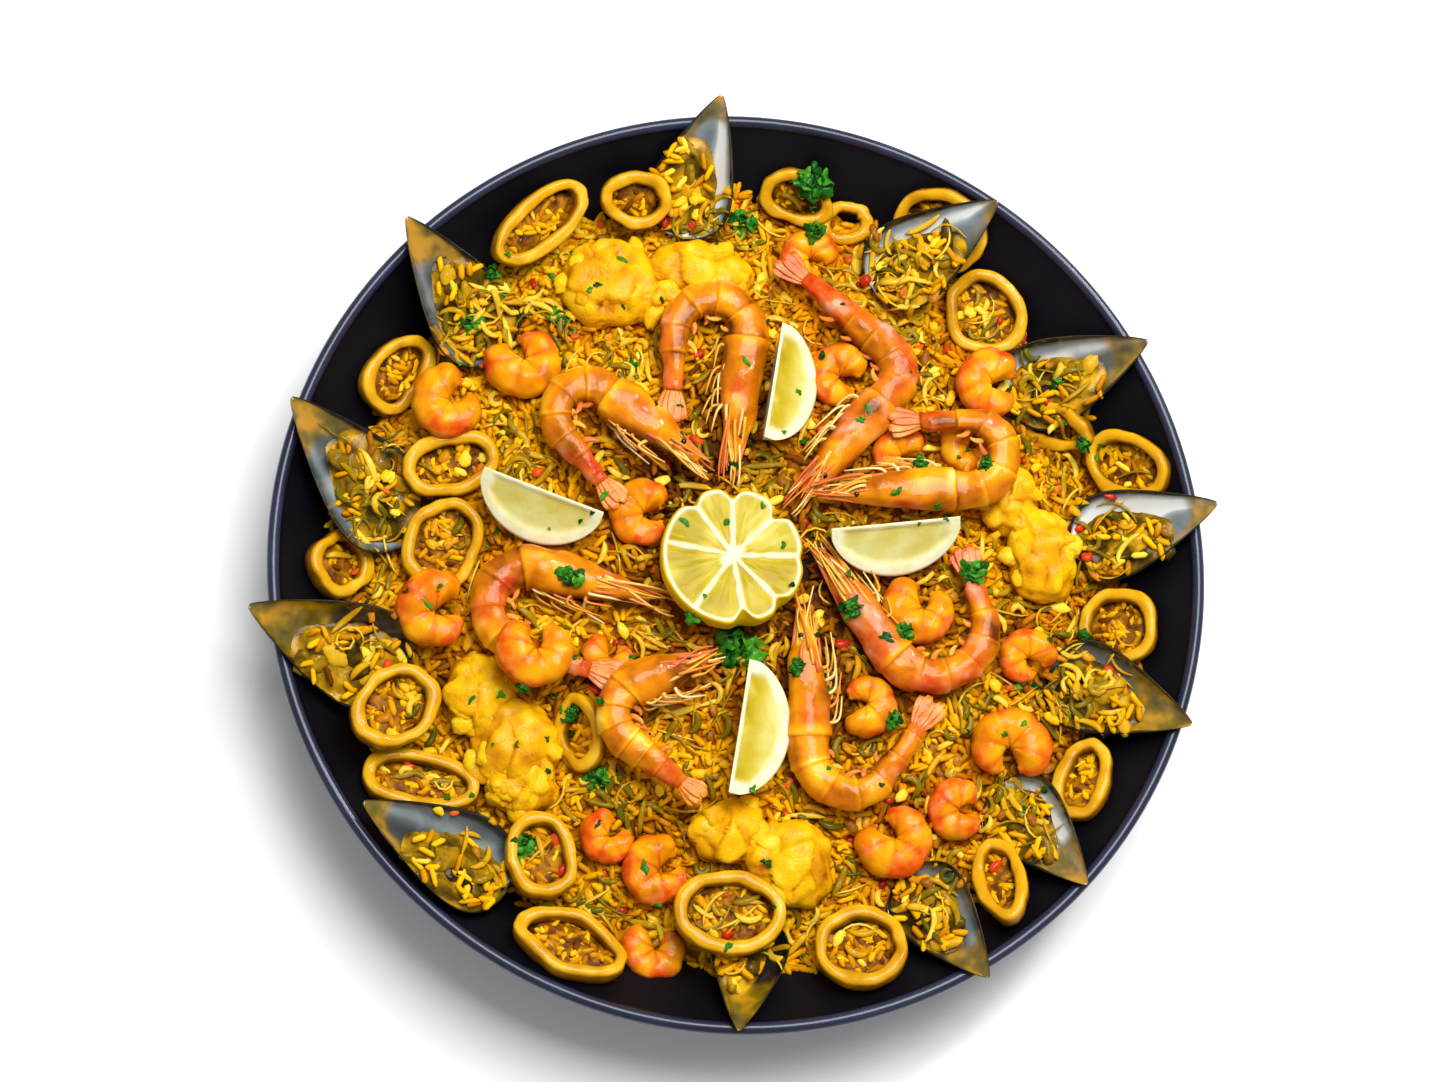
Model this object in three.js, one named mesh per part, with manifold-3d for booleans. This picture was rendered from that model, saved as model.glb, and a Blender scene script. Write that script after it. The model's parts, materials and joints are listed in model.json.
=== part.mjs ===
// A seafood paella in the 400 mm pan it was cooked in: saffron rice with fish, squid rings,
// peeled shrimps, whole prawns, mussels on the half shell and lemon.
// Millimetres, +Z up. The origin is the centre of the pan's flat underside.

import * as THREE from 'three';
import { mergeVertices } from 'three/addons/utils/BufferGeometryUtils.js';
import Module from 'manifold-3d';

const wasm = await Module();
wasm.setup();

// ---------------------------------------------------------------- driving dimensions

const FULL_TURN = 2 * Math.PI;
const CLEARANCE = 0.35; // gap kept between any two pieces
const LIFT_STEP = 0.75; // a piece that touches another is raised by this until it is clear
const LIFT_STEPS = 60;

// The pan: pressed steel, flat base, straight flared wall, rolled rim.
const PAN_RADIUS = 200;
const PAN_HEIGHT = 61;
const PAN_THICKNESS = 2.6;
const FLOOR_RADIUS = 134;
const RIM_BEAD = 2.6; // radius of the rolled rim
const RIM_STEPS = 4;
const PAN_SEGMENTS = 54;
const WALL_TOP = PAN_HEIGHT - RIM_BEAD;
const WALL_TOP_RADIUS = PAN_RADIUS - 2 * RIM_BEAD;
const WALL_RUN = (WALL_TOP_RADIUS - FLOOR_RADIUS) / (WALL_TOP - PAN_THICKNESS);

// The rice: a low dome whose surface is bumps of the size of its grains.
const HEAP_CROWN = 50;
const HEAP_EDGE = 36;
const HEAP_FALL = 2.6; // the higher, the flatter the middle of the dome
const HEAP_GAP = 0.6; // rice to pan
const HEAP_RINGS = 16; // rings of bumps, each with six bumps more than the one inside it
const BUMP_HEIGHT = 3;
const BUMP_DRIFT = 2;
const BED_REACH = 6.5; // the rice gives way this far round a piece that presses on it
const BED_PROBES = 8;
const SEED = 41;

// Squid rings: a cut across the body tube.
const SQUID_WALL = 5.6;
const SQUID_HEIGHT = 9;
const SQUID_STEPS = 10;
const SQUID_SIDES = 5;

// Peeled shrimps: a body curled nearly shut, thick at the head end.
const SHRIMP_CURL = 300; // degrees
const SHRIMP_BODY = 0.24; // half thickness, share of the size
const SHRIMP_RADIUS = 0.28; // of the curl, share of the size
const SHRIMP_STEPS = 7;
const SHRIMP_SIDES = 5;

// Whole prawns, lying on one side. Share of the length, half width, half height.
const PRAWN_STEPS = 14;
const PRAWN_SIDES = 6;
const PRAWN_FORM = [
  [0, 1.2, 1.2],
  [0.1, 3.6, 3.2],
  [0.22, 8, 6.4],
  [0.36, 9.6, 7.6],
  [0.46, 9, 7.4],
  [0.7, 7.6, 6.4],
  [0.85, 5, 4.4],
  [0.92, 4.4, 2.6],
  [1, 6.4, 1.4],
];

// Mussels: a half shell, pointed at the hinge, with its meat and rice at the round end.
const SHELL_WIDTH = 0.6; // share of the length
const SHELL_DEPTH = 0.16;
const SHELL_WALL = 1.6;
const SHELL_STATIONS = [0.01, 0.1, 0.22, 0.38, 0.54, 0.7, 0.86, 0.96];
const SHELL_ACROSS = [-1, -0.62, -0.22, 0.22, 0.62, 1];
const SHELL_INSIDE = [0.92, 0.32, -0.32, -0.92];
const MEAT_FROM = 0.38; // share of the length where the filling starts
const MEAT_LEVEL = -1.5; // top of the filling, below the shell's edge
const HINGE_HEIGHT = 66; // lowest place of the pointed end above the table

// Fish: how much shallower a chunk is below its widest part than above.
const FISH_SOLE = 0.4;
const LUMP_FACETS = [7, 5]; // round, and from top to bottom

// Lemons.
const LEMON_RADIUS = 30.5;
const LEMON_SEGMENTS = 36;
const LEMON_PROFILE = [ // radius share, depth below the cut face, share of the notch
  [0.5, 24, 0],
  [0.88, 14, 0.2],
  [1, 4, 0.8],
  [0.965, 0, 1],
];
const LEMON_NOTCHES = [ // degrees round the rim, depth
  [126, 3.5],
  [90, 5],
  [45, 6],
  [0, 1.5],
  [-45, 4],
  [-81, 6],
];
const LEMON_NOTCH_WIDTH = 7; // degrees
const WEDGE_RADIUS = 25;
const WEDGE_ANGLE = 54;
const WEDGE_STATIONS = 6;
const WEDGE_ARC_STEPS = 4;
const WEDGE_TIP = 3.5;

// Chopped parsley: one sprig is a thin wavy leaf with lobes.
const LEAF_THICKNESS = 1.2;
const LEAF_POINTS = 8;
const LEAF_WAVE = 1.6;

// Height of each kind's origin above the rice.
const FISH_LIFT = 2;
const SQUID_LIFT = 3.5;
const SHRIMP_LIFT = 5;
const LEMON_LIFT = 22;
const PRAWN_LIFT = 7;
const SUNK_SHRIMP_LIFT = 4;
const SUNK_RING_LIFT = 3;
const PARSLEY_LIFT = 1;

// ---------------------------------------------------------------- where the pieces lie
// at: place in plan. turn: degrees the piece is turned. slope, toward: how far its upper
// side leans, and the direction that it leans in. All angles run from +X towards +Y.

const FISH = [
  { at: [-38, 129], lumps: [[-19, -4, 22, 20, 12], [20, 3, 22, 13, 10], [-2, -10, 16, 10, 9]] },
  { at: [126, 16], lumps: [[-8, 14, 13, 16, 11], [6, -10, 15, 20, 12]] },
  { at: [-98, -76], lumps: [[-13, 18, 16, 17, 11], [3, -4, 20, 19, 13], [6, -22, 15, 12, 10]] },
  { at: [7, -122], lumps: [[-12, 6, 18, 14, 11], [13, -7, 18, 18, 12]] },
];

const MUSSELS = [
  { at: [-10, 205], length: 66, turn: -109, slope: 24, toward: -125 },
  { at: [-146, 144], length: 74, turn: -49, slope: 26, toward: -15 },
  { at: [-192, 63], length: 80, turn: -43, slope: 24, toward: -5 },
  { at: [-206, -28], length: 74, turn: -22, slope: 20, toward: -50 },
  { at: [-157, -108], length: 72, turn: -24, slope: 24, toward: 20 },
  { at: [-3, -199], length: 56, turn: 80, slope: 24, toward: 80 },
  { at: [100, -177], length: 60, turn: 127, slope: 28, toward: 160 },
  { at: [143, -138], length: 60, turn: 130, slope: 28, toward: 165 },
  { at: [190, -70], length: 67, turn: 158, slope: 22, toward: 190 },
  { at: [204, 26], length: 66, turn: -165, slope: 22, toward: -160 },
  { at: [177, 99], length: 68, turn: -157, slope: 24, toward: -130 },
  { at: [111, 159], length: 68, turn: -147, slope: 22, toward: -138 },
];

const RINGS_UNDER_MUSSELS = [
  { at: [89, 153], length: 45, width: 36, turn: -35, slope: 32, toward: -120 },
  { at: [169, 47], length: 41, width: 31, turn: -35, slope: 30, toward: -165 },
];

const SQUID_RINGS = [
  { at: [-88, 149], length: 53, width: 26, turn: 42, slope: 25, toward: -30 },
  { at: [-47, 161], length: 33, width: 26, turn: 0, slope: 24, toward: -74 },
  { at: [26, 168], length: 34, width: 27, turn: -25, slope: 30, toward: -100 },
  { at: [110, 117], length: 42, width: 36, turn: -45, slope: 12, toward: -130 },
  { at: [-148, 81], length: 41, width: 28, turn: 52, slope: 24, toward: -30 },
  { at: [-124, 40], length: 43, width: 28, turn: 15, slope: 8, toward: -60 },
  { at: [-127, 6], length: 42, width: 36, turn: 70, slope: 5, toward: -60 },
  { at: [-170, -4], length: 31, width: 30, turn: 80, slope: 30, toward: 0 },
  { at: [-145, -66], length: 40, width: 35, turn: 60, slope: 12, toward: 30 },
  { at: [-134, -96], length: 51, width: 26, turn: -8, slope: 14, toward: 60 },
  { at: [-84, -127], length: 39, width: 32, turn: -75, slope: 12, toward: 60 },
  { at: [-71, -163], length: 49, width: 28, turn: -22, slope: 22, toward: 70 },
  { at: [-6, -150], length: 46, width: 37, turn: 5, slope: 8, toward: 90 },
  { at: [50, -164], length: 40, width: 37, turn: 15, slope: 18, toward: 105 },
  { at: [108, -136], length: 39, width: 25, turn: 103, slope: 26, toward: 128 },
  { at: [146, -91], length: 40, width: 26, turn: 68, slope: 26, toward: 148 },
  { at: [165, -24], length: 35, width: 34, turn: 0, slope: 24, toward: 172 },
];

const SHRIMPS = [
  { at: [-94, 88], size: 35, turn: 140 },
  { at: [-125, 66], size: 34, turn: 60 },
  { at: [-129, -25], size: 35, turn: 30 },
  { at: [43, 83], size: 30, turn: 0 },
  { at: [110, 81], size: 33, turn: 20 },
  { at: [77, -19], size: 33, turn: 95 },
  { at: [114, -79], size: 36, turn: -70 },
  { at: [65, -117], size: 35, turn: 150 },
  { at: [-34, -132], size: 32, turn: 45 },
];

const SHRIMP_ON_PRAWN = [{ at: [-87, -43], size: 34, turn: 110 }];

const LEMON_HALF = [{ at: [-5.5, -2], slope: 6, toward: 60 }];

const LEMON_WEDGES = [
  { at: [12, 76], length: 52, turn: 81, slope: 28, toward: 171 },
  { at: [-85, 25], length: 54, turn: -20, slope: 26, toward: 69 },
  { at: [64, 14], length: 56, turn: 7, slope: 26, toward: 97 },
  { at: [-3, -74], length: 57, turn: 81, slope: 38, toward: 171 },
];

// at: tip of the head. turn: direction from the head to the back. straight: length before the
// bend. radius and bend: the curl of the tail, anticlockwise. tail: what follows the bend.
const PRAWNS = [
  { at: [-5, 35], turn: 84, straight: 64, radius: 15, bend: 182, tail: 38 },
  { at: [-14, 38], turn: 144, straight: 56, radius: 13, bend: 165, tail: 36 },
  { at: [22, 24], turn: 51, straight: 68, radius: 13, bend: 88, tail: 58 },
  { at: [30, 29], turn: 3, straight: 68, radius: 15, bend: 180, tail: 30 },
  { at: [30, 8], turn: -55, straight: 58, radius: 22, bend: 160, tail: 26 },
  { at: [26, -15], turn: -88, straight: 68, radius: 17, bend: 143, tail: 36 },
  { at: [-32, -20], turn: 166, straight: 56, radius: 16.5, bend: 175, tail: 44 },
  { at: [-11, -43], turn: 200, straight: 36, radius: 14, bend: 122, tail: 36 },
];

// Pieces too small, or too deep in the rice, to be apart from it.
const SUNK_SHRIMPS = [
  { at: [-42, 19], size: 31, turn: 20 },
  { at: [70, 48], size: 27, turn: 10 },
  { at: [100, 54], size: 26, turn: 60 },
  { at: [124, -39], size: 27, turn: -30 },
  { at: [53, -61], size: 28, turn: 200 },
  { at: [93, -105], size: 28, turn: 30 },
  { at: [-35, -164], size: 29, turn: 100 },
  { at: [31, 139], size: 28, turn: -20 },
  { at: [-55, -118], size: 25, turn: 70 },
  { at: [-56, -43], size: 24, turn: 90 },
];

const SUNK_RINGS = [
  { at: [48, 159], length: 25, width: 21, turn: 20, slope: 12, toward: -106 },
  { at: [140, 66], length: 36, width: 22, turn: -20, slope: 35, toward: -150 },
  { at: [-68, -74], length: 34, width: 22, turn: 100, slope: 28, toward: 190 },
];

const PARSLEY = [
  { at: [3, 156], size: 12, turn: 70 },
  { at: [-1, -38], size: 16, turn: 10 },
  { at: [-92, -122], size: 15, turn: 50 },
  { at: [-60, -94], size: 13, turn: 0 },
  { at: [99, -4], size: 13, turn: 120 },
  { at: [-20, -26], size: 12, turn: 80 },
];

// ---------------------------------------------------------------- materials

function finish(color, roughness, metalness = 0) {
  return new THREE.MeshStandardMaterial({ color, roughness, metalness });
}

const ENAMELLED_STEEL = finish(0x1b1d28, 0.35, 0.2);
const SAFFRON_RICE = finish(0xc98a14, 0.5);
const COOKED_FISH = finish(0xe9b321, 0.45);
const COOKED_SQUID = finish(0xc78d12, 0.3);
const COOKED_SHRIMP = finish(0xf08c1c, 0.35);
const PRAWN_SHELL = finish(0xe8761f, 0.3);
const MUSSEL_SHELL = finish(0x4d4a22, 0.35);
const LEMON = finish(0xf0dc5a, 0.4);

// ---------------------------------------------------------------- helpers

const radians = THREE.MathUtils.degToRad;
const at = (x, y, z) => new THREE.Vector3(x, y, z);
const UP = at(0, 0, 1);

// A closed body through a row of loops that all have the same number of points. Its ends are
// fans about their own middle, unless the row closes on itself.
function loft(loops, closesOnItself = false) {
  const sides = loops[0].length;
  const points = loops.flat();
  const index = [];
  const joins = closesOnItself ? loops.length : loops.length - 1;
  for (let i = 0; i < joins; i += 1) {
    const here = i * sides;
    const next = ((i + 1) % loops.length) * sides;
    for (let j = 0; j < sides; j += 1) {
      const k = (j + 1) % sides;
      index.push(here + j, here + k, next + k);
      index.push(here + j, next + k, next + j);
    }
  }
  if (!closesOnItself) {
    for (const end of [0, loops.length - 1]) {
      const middle = points.length;
      points.push(loops[end].reduce((sum, p) => sum.add(p), at(0, 0, 0)).divideScalar(sides));
      for (let j = 0; j < sides; j += 1) {
        const a = end * sides + j;
        const b = end * sides + ((j + 1) % sides);
        index.push(...(end === 0 ? [middle, b, a] : [middle, a, b]));
      }
    }
  }
  const geometry = new THREE.BufferGeometry().setFromPoints(points);
  geometry.setIndex(index);
  return geometry;
}

// The geometry as a solid, with its faces pointing out.
function toSolid(geometry) {
  const bare = geometry.clone();
  bare.deleteAttribute('normal');
  bare.deleteAttribute('uv');
  const merged = mergeVertices(bare, 1e-3);
  const triVerts = new Uint32Array(merged.index.array);
  const vertProperties = new Float32Array(merged.attributes.position.array);
  const solid = new wasm.Manifold(new wasm.Mesh({ numProp: 3, vertProperties, triVerts }));
  if (solid.volume() > 0) {
    return solid;
  }
  for (let i = 0; i < triVerts.length; i += 3) {
    [triVerts[i], triVerts[i + 1]] = [triVerts[i + 1], triVerts[i]];
  }
  return new wasm.Manifold(new wasm.Mesh({ numProp: 3, vertProperties, triVerts }));
}

function toGeometry(solid) {
  const { vertProperties, triVerts } = solid.getMesh();
  const geometry = new THREE.BufferGeometry();
  geometry.setAttribute('position', new THREE.BufferAttribute(vertProperties, 3));
  geometry.setIndex(new THREE.BufferAttribute(triVerts, 1));
  return geometry;
}

// The largest of the separate bodies in a geometry. Loose scraps are dropped.
function largestBody(geometry) {
  const index = geometry.index.array;
  const root = Array.from({ length: geometry.attributes.position.count }, (_, i) => i);
  const find = (i) => {
    let top = i;
    while (root[top] !== top) {
      root[top] = root[root[top]];
      top = root[top];
    }
    return top;
  };
  for (let i = 0; i < index.length; i += 3) {
    root[find(index[i])] = find(index[i + 1]);
    root[find(index[i + 1])] = find(index[i + 2]);
  }
  const bodies = new Map();
  for (let i = 0; i < index.length; i += 3) {
    const top = find(index[i]);
    const triangles = bodies.get(top) ?? [];
    triangles.push(index[i], index[i + 1], index[i + 2]);
    bodies.set(top, triangles);
  }
  const largest = [...bodies.values()].sort((a, b) => b.length - a.length)[0];
  const body = geometry.clone();
  body.setIndex(largest);
  return body;
}

// Inside radius of the pan's wall at a height, and height of the rice at a place.
function wallRadius(z) {
  return FLOOR_RADIUS + (z - PAN_THICKNESS) * WALL_RUN;
}

const HEAP_RADIUS = wallRadius(HEAP_EDGE) - 2 * HEAP_GAP;

function heapHeight(x, y) {
  const share = Math.min(Math.hypot(x, y) / HEAP_RADIUS, 1);
  return HEAP_CROWN - (HEAP_CROWN - HEAP_EDGE) * share ** HEAP_FALL;
}

// ---------------------------------------------------------------- the pan

function panGeometry() {
  const wallAcross = PAN_THICKNESS * Math.hypot(1, WALL_RUN);
  const profile = [new THREE.Vector2(0, 0)];
  profile.push(new THREE.Vector2(wallRadius(0) + wallAcross - 1.5, 0));
  profile.push(new THREE.Vector2(wallRadius(1) + wallAcross, 1));
  for (let i = 0; i <= RIM_STEPS; i += 1) {
    const angle = radians(-75 + (i * 255) / RIM_STEPS);
    const x = PAN_RADIUS - RIM_BEAD + RIM_BEAD * Math.cos(angle);
    const y = WALL_TOP + RIM_BEAD * Math.sin(angle);
    profile.push(new THREE.Vector2(x, y));
  }
  profile.push(new THREE.Vector2(FLOOR_RADIUS, PAN_THICKNESS));
  profile.push(new THREE.Vector2(0, PAN_THICKNESS));
  return new THREE.LatheGeometry(profile, PAN_SEGMENTS).rotateX(Math.PI / 2);
}

// ---------------------------------------------------------------- the seafood and lemon
// Each function gives one piece about its own origin, grown on every side by an allowance.

// A loop about a point, across two directions, half as wide and high as given.
function section(centre, across, up, halfWidth, halfHeight, sides, offset = 0) {
  return Array.from({ length: sides }, (_, j) => {
    const angle = ((j + offset) / sides) * FULL_TURN;
    return centre
      .clone()
      .addScaledVector(across, halfWidth * Math.cos(angle))
      .addScaledVector(up, halfHeight * Math.sin(angle));
  });
}

function squidRing({ length, width }, allowance) {
  const halfWall = SQUID_WALL / 2 + allowance;
  const halfHeight = SQUID_HEIGHT / 2 + allowance;
  const loops = [];
  for (let i = 0; i < SQUID_STEPS; i += 1) {
    const angle = (i / SQUID_STEPS) * FULL_TURN;
    const outward = at(Math.cos(angle), Math.sin(angle), 0);
    const x = (length / 2 - SQUID_WALL / 2) * outward.x;
    const y = (width / 2 - SQUID_WALL / 2) * outward.y;
    loops.push(section(at(x, y, 0), outward, UP, halfWall, halfHeight, SQUID_SIDES, 0.5));
  }
  return loft(loops, true);
}

function shrimp({ size }, allowance) {
  const body = size * SHRIMP_BODY;
  const curl = size * SHRIMP_RADIUS;
  const loops = [];
  for (let i = 0; i <= SHRIMP_STEPS; i += 1) {
    const share = i / SHRIMP_STEPS;
    const angle = share * radians(SHRIMP_CURL);
    const outward = at(Math.cos(angle), Math.sin(angle), 0);
    const round = Math.min(1, 0.55 + share * 3);
    const half = body * round * (1 - 0.5 * share ** 1.6) + allowance;
    const centre = outward.clone().multiplyScalar(curl * (1 - 0.08 * share));
    centre.z = size * 0.05 * (0.5 - share);
    loops.push(section(centre, outward, UP, half, half * 0.95, SHRIMP_SIDES));
  }
  return loft(loops);
}

// Half width and half height of a prawn at a share of its length.
function prawnForm(share) {
  const next = Math.max(1, PRAWN_FORM.findIndex((row) => row[0] >= share));
  const [from, to] = [PRAWN_FORM[next - 1], PRAWN_FORM[next]];
  const between = (share - from[0]) / (to[0] - from[0]);
  return [1, 2].map((i) => THREE.MathUtils.lerp(from[i], to[i], between));
}

function prawn({ straight, radius, bend, tail }, allowance) {
  const arc = radius * radians(bend);
  const length = straight + arc + tail;
  const loops = [];
  for (let i = 0; i <= PRAWN_STEPS; i += 1) {
    const along = (i / PRAWN_STEPS) * length;
    const turned = THREE.MathUtils.clamp((along - straight) / radius, 0, radians(bend));
    const forward = at(Math.cos(turned), Math.sin(turned), 0);
    const outward = at(Math.sin(turned), -Math.cos(turned), 0);
    const centre = at(Math.min(along, straight), radius, 0).addScaledVector(outward, radius);
    centre.addScaledVector(forward, Math.max(0, along - straight - arc));
    const [halfWidth, halfHeight] = prawnForm(i / PRAWN_STEPS).map((half) => half + allowance);
    loops.push(section(centre, outward, UP, halfWidth, halfHeight, PRAWN_SIDES));
  }
  return loft(loops);
}

// A mussel shell along +X from its hinge, open upwards.
function mussel({ length }, allowance) {
  const loops = SHELL_STATIONS.map((share) => {
    const form = 1.46 * share ** 0.8 * (1 - share ** 5) ** 0.6;
    const halfWidth = (SHELL_WIDTH / 2) * length * form;
    const depth = SHELL_DEPTH * length * form ** 0.8;
    const x = length * share;
    const outside = SHELL_ACROSS.map((v) => {
      const z = -depth * (1 - v * v) ** 0.7;
      return at(x, v * (halfWidth + allowance), z + (v * v === 1 ? 0.8 : -1) * allowance);
    });
    const filled = THREE.MathUtils.smoothstep(share, MEAT_FROM, MEAT_FROM + 0.16);
    const inside = SHELL_INSIDE.map((v) => {
      const wall = Math.min(SHELL_WALL, depth * 0.4);
      const bare = -(depth - wall) * (1 - (v / SHELL_INSIDE[0]) ** 2) ** 0.7;
      const z = THREE.MathUtils.lerp(bare, Math.max(bare, MEAT_LEVEL), filled);
      return at(x, v * halfWidth, z + allowance);
    });
    return [...outside, ...inside];
  });
  for (const p of loops[0]) {
    p.x -= allowance;
  }
  for (const p of loops.at(-1)) {
    p.x += allowance;
  }
  return loft(loops);
}

// Half a lemon, cut face up at the origin. Its rim dips in where the membranes pull it.
function lemonHalf(_, allowance) {
  const loops = LEMON_PROFILE.map(([share, depth, notched]) => {
    const loop = [];
    for (let i = 0; i < LEMON_SEGMENTS; i += 1) {
      const degrees = (i / LEMON_SEGMENTS) * 360;
      let radius = LEMON_RADIUS * share + allowance;
      for (const [where, notch] of LEMON_NOTCHES) {
        const off = ((degrees - where + 540) % 360) - 180;
        radius -= notch * notched * Math.exp(-((off / LEMON_NOTCH_WIDTH) ** 2));
      }
      const angle = radians(degrees);
      const z = depth > 0 ? -depth : allowance;
      loop.push(at(radius * Math.cos(angle), radius * Math.sin(angle), z));
    }
    return loop;
  });
  for (const p of loops[0]) {
    p.z -= allowance;
  }
  return loft(loops);
}

// A lemon wedge along X: its core edge is on top, at the origin, and its rind is below.
function lemonWedge({ length }, allowance) {
  const half = radians(WEDGE_ANGLE / 2);
  const loops = [];
  for (let i = 0; i <= WEDGE_STATIONS; i += 1) {
    const side = (2 * i) / WEDGE_STATIONS - 1;
    const x = side * (length / 2 + allowance);
    const radius = WEDGE_TIP + (WEDGE_RADIUS - WEDGE_TIP) * (1 - side * side) ** 0.6;
    const loop = [at(x, 0, 2.2 * allowance)];
    for (let j = 0; j <= WEDGE_ARC_STEPS; j += 1) {
      const angle = half * ((2 * j) / WEDGE_ARC_STEPS - 1);
      const outwards = radius + allowance;
      const y = outwards * Math.sin(angle) + Math.sign(angle) * allowance;
      loop.push(at(x, y, -outwards * Math.cos(angle)));
    }
    loops.push(loop);
  }
  return loft(loops);
}

// Presses what lies below the origin to a share of its depth.
function flattenBelow(geometry, share) {
  const { position } = geometry.attributes;
  for (let i = 0; i < position.count; i += 1) {
    position.setZ(i, Math.max(position.getZ(i), position.getZ(i) * share));
  }
}

// A chunk of fish: rounded flakes that hang together.
function fish({ lumps }, allowance) {
  let chunk = null;
  for (const [x, y, alongX, alongY, alongZ] of lumps) {
    const lump = new THREE.SphereGeometry(1, ...LUMP_FACETS).rotateX(Math.PI / 2).rotateZ(x);
    lump.scale(alongX + allowance, alongY + allowance, alongZ + allowance);
    flattenBelow(lump, FISH_SOLE);
    lump.translate(x, y, 0);
    chunk = chunk ? chunk.add(toSolid(lump)) : toSolid(lump);
  }
  return toGeometry(chunk);
}

function parsleyLeaf({ size }, allowance) {
  const faces = [-1, 1].map((side) => {
    const loop = [];
    for (let i = 0; i < LEAF_POINTS; i += 1) {
      const angle = (i / LEAF_POINTS) * FULL_TURN;
      const radius = (size / 2) * (i % 2 === 0 ? 1 : 0.66) + allowance;
      const z = LEAF_WAVE * Math.sin(3 * angle) + side * (LEAF_THICKNESS / 2 + allowance);
      loop.push(at(radius * Math.cos(angle), radius * Math.sin(angle), z));
    }
    return loop;
  });
  return loft(faces);
}

// ---------------------------------------------------------------- laying the pieces down

const group = new THREE.Group();
const settled = []; // solids that a new piece has to stay clear of
const beds = []; // the hollows that the settled pieces leave in the rice

function keep(solid) {
  const box = new THREE.Box3().setFromBufferAttribute(toGeometry(solid).attributes.position);
  settled.push({ solid, box });
}

function isClear(solid) {
  const box = new THREE.Box3().setFromBufferAttribute(toGeometry(solid).attributes.position);
  const near = settled.filter((other) => other.box.intersectsBox(box));
  return near.every((other) => other.solid.intersect(solid).isEmpty());
}

function worldSolid(geometry, mesh) {
  mesh.updateMatrixWorld(true);
  return toSolid(geometry.clone().applyMatrix4(mesh.matrixWorld));
}

// A piece in its place in plan, turned and leaning, with its origin at a height.
function lay(make, material, piece, height) {
  const mesh = new THREE.Mesh(toGeometry(toSolid(make(piece, 0))), material);
  const toward = radians(piece.toward ?? 0);
  const hinge = at(-Math.sin(toward), Math.cos(toward), 0);
  mesh.quaternion.setFromAxisAngle(hinge, radians(piece.slope ?? 0));
  mesh.rotateZ(radians(piece.turn ?? 0));
  mesh.position.set(piece.at[0], piece.at[1], height);
  return mesh;
}

// Lays pieces of one kind down in turn. Each comes to lie at its height above the rice, or
// higher where the pan or an earlier piece is in its way.
function serve(name, make, material, pieces, heightOf) {
  for (const piece of pieces) {
    const mesh = lay(make, material, piece, heightOf(...piece.at));
    const number = group.children.filter((other) => other.name.startsWith(name)).length + 1;
    mesh.name = `${name}_${String(number).padStart(2, '0')}`;
    const grown = make(piece, CLEARANCE);
    let bed = worldSolid(grown, mesh);
    for (let step = 0; step < LIFT_STEPS && !isClear(bed); step += 1) {
      mesh.position.z += LIFT_STEP;
      bed = worldSolid(grown, mesh);
    }
    beds.push(bed);
    keep(worldSolid(mesh.geometry, mesh));
    group.add(mesh);
  }
}

const pan = new THREE.Mesh(panGeometry(), ENAMELLED_STEEL);
pan.name = 'pan';
group.add(pan);
keep(toSolid(pan.geometry));

const above = (lift) => (x, y) => heapHeight(x, y) + lift;
serve('fish', fish, COOKED_FISH, FISH, above(FISH_LIFT));
serve('squid_ring', squidRing, COOKED_SQUID, RINGS_UNDER_MUSSELS, above(SQUID_LIFT));
serve('mussel', mussel, MUSSEL_SHELL, MUSSELS, () => HINGE_HEIGHT);
serve('squid_ring', squidRing, COOKED_SQUID, SQUID_RINGS, above(SQUID_LIFT));
serve('shrimp', shrimp, COOKED_SHRIMP, SHRIMPS, above(SHRIMP_LIFT));
serve('lemon_half', lemonHalf, LEMON, LEMON_HALF, above(LEMON_LIFT));
serve('lemon_wedge', lemonWedge, LEMON, LEMON_WEDGES, above(LEMON_LIFT));
serve('prawn', prawn, PRAWN_SHELL, PRAWNS, above(PRAWN_LIFT));
serve('shrimp', shrimp, COOKED_SHRIMP, SHRIMP_ON_PRAWN, above(SHRIMP_LIFT));

// ---------------------------------------------------------------- the rice

const bedMeshes = beds.map((bed) => new THREE.Mesh(toGeometry(bed)));
const bedProbe = new THREE.Raycaster();

// Underside of the pieces that lie on the rice at a place or close round it.
function bedHeight(x, y) {
  let lowest = Infinity;
  for (let i = 0; i <= BED_PROBES; i += 1) {
    const angle = (i / BED_PROBES) * FULL_TURN;
    const reach = i === BED_PROBES ? 0 : BED_REACH;
    const from = at(x + reach * Math.cos(angle), y + reach * Math.sin(angle), 0);
    bedProbe.set(from, UP);
    const [hit] = bedProbe.intersectObjects(bedMeshes);
    lowest = Math.min(lowest, hit ? hit.point.z : Infinity);
  }
  return lowest;
}

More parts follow.
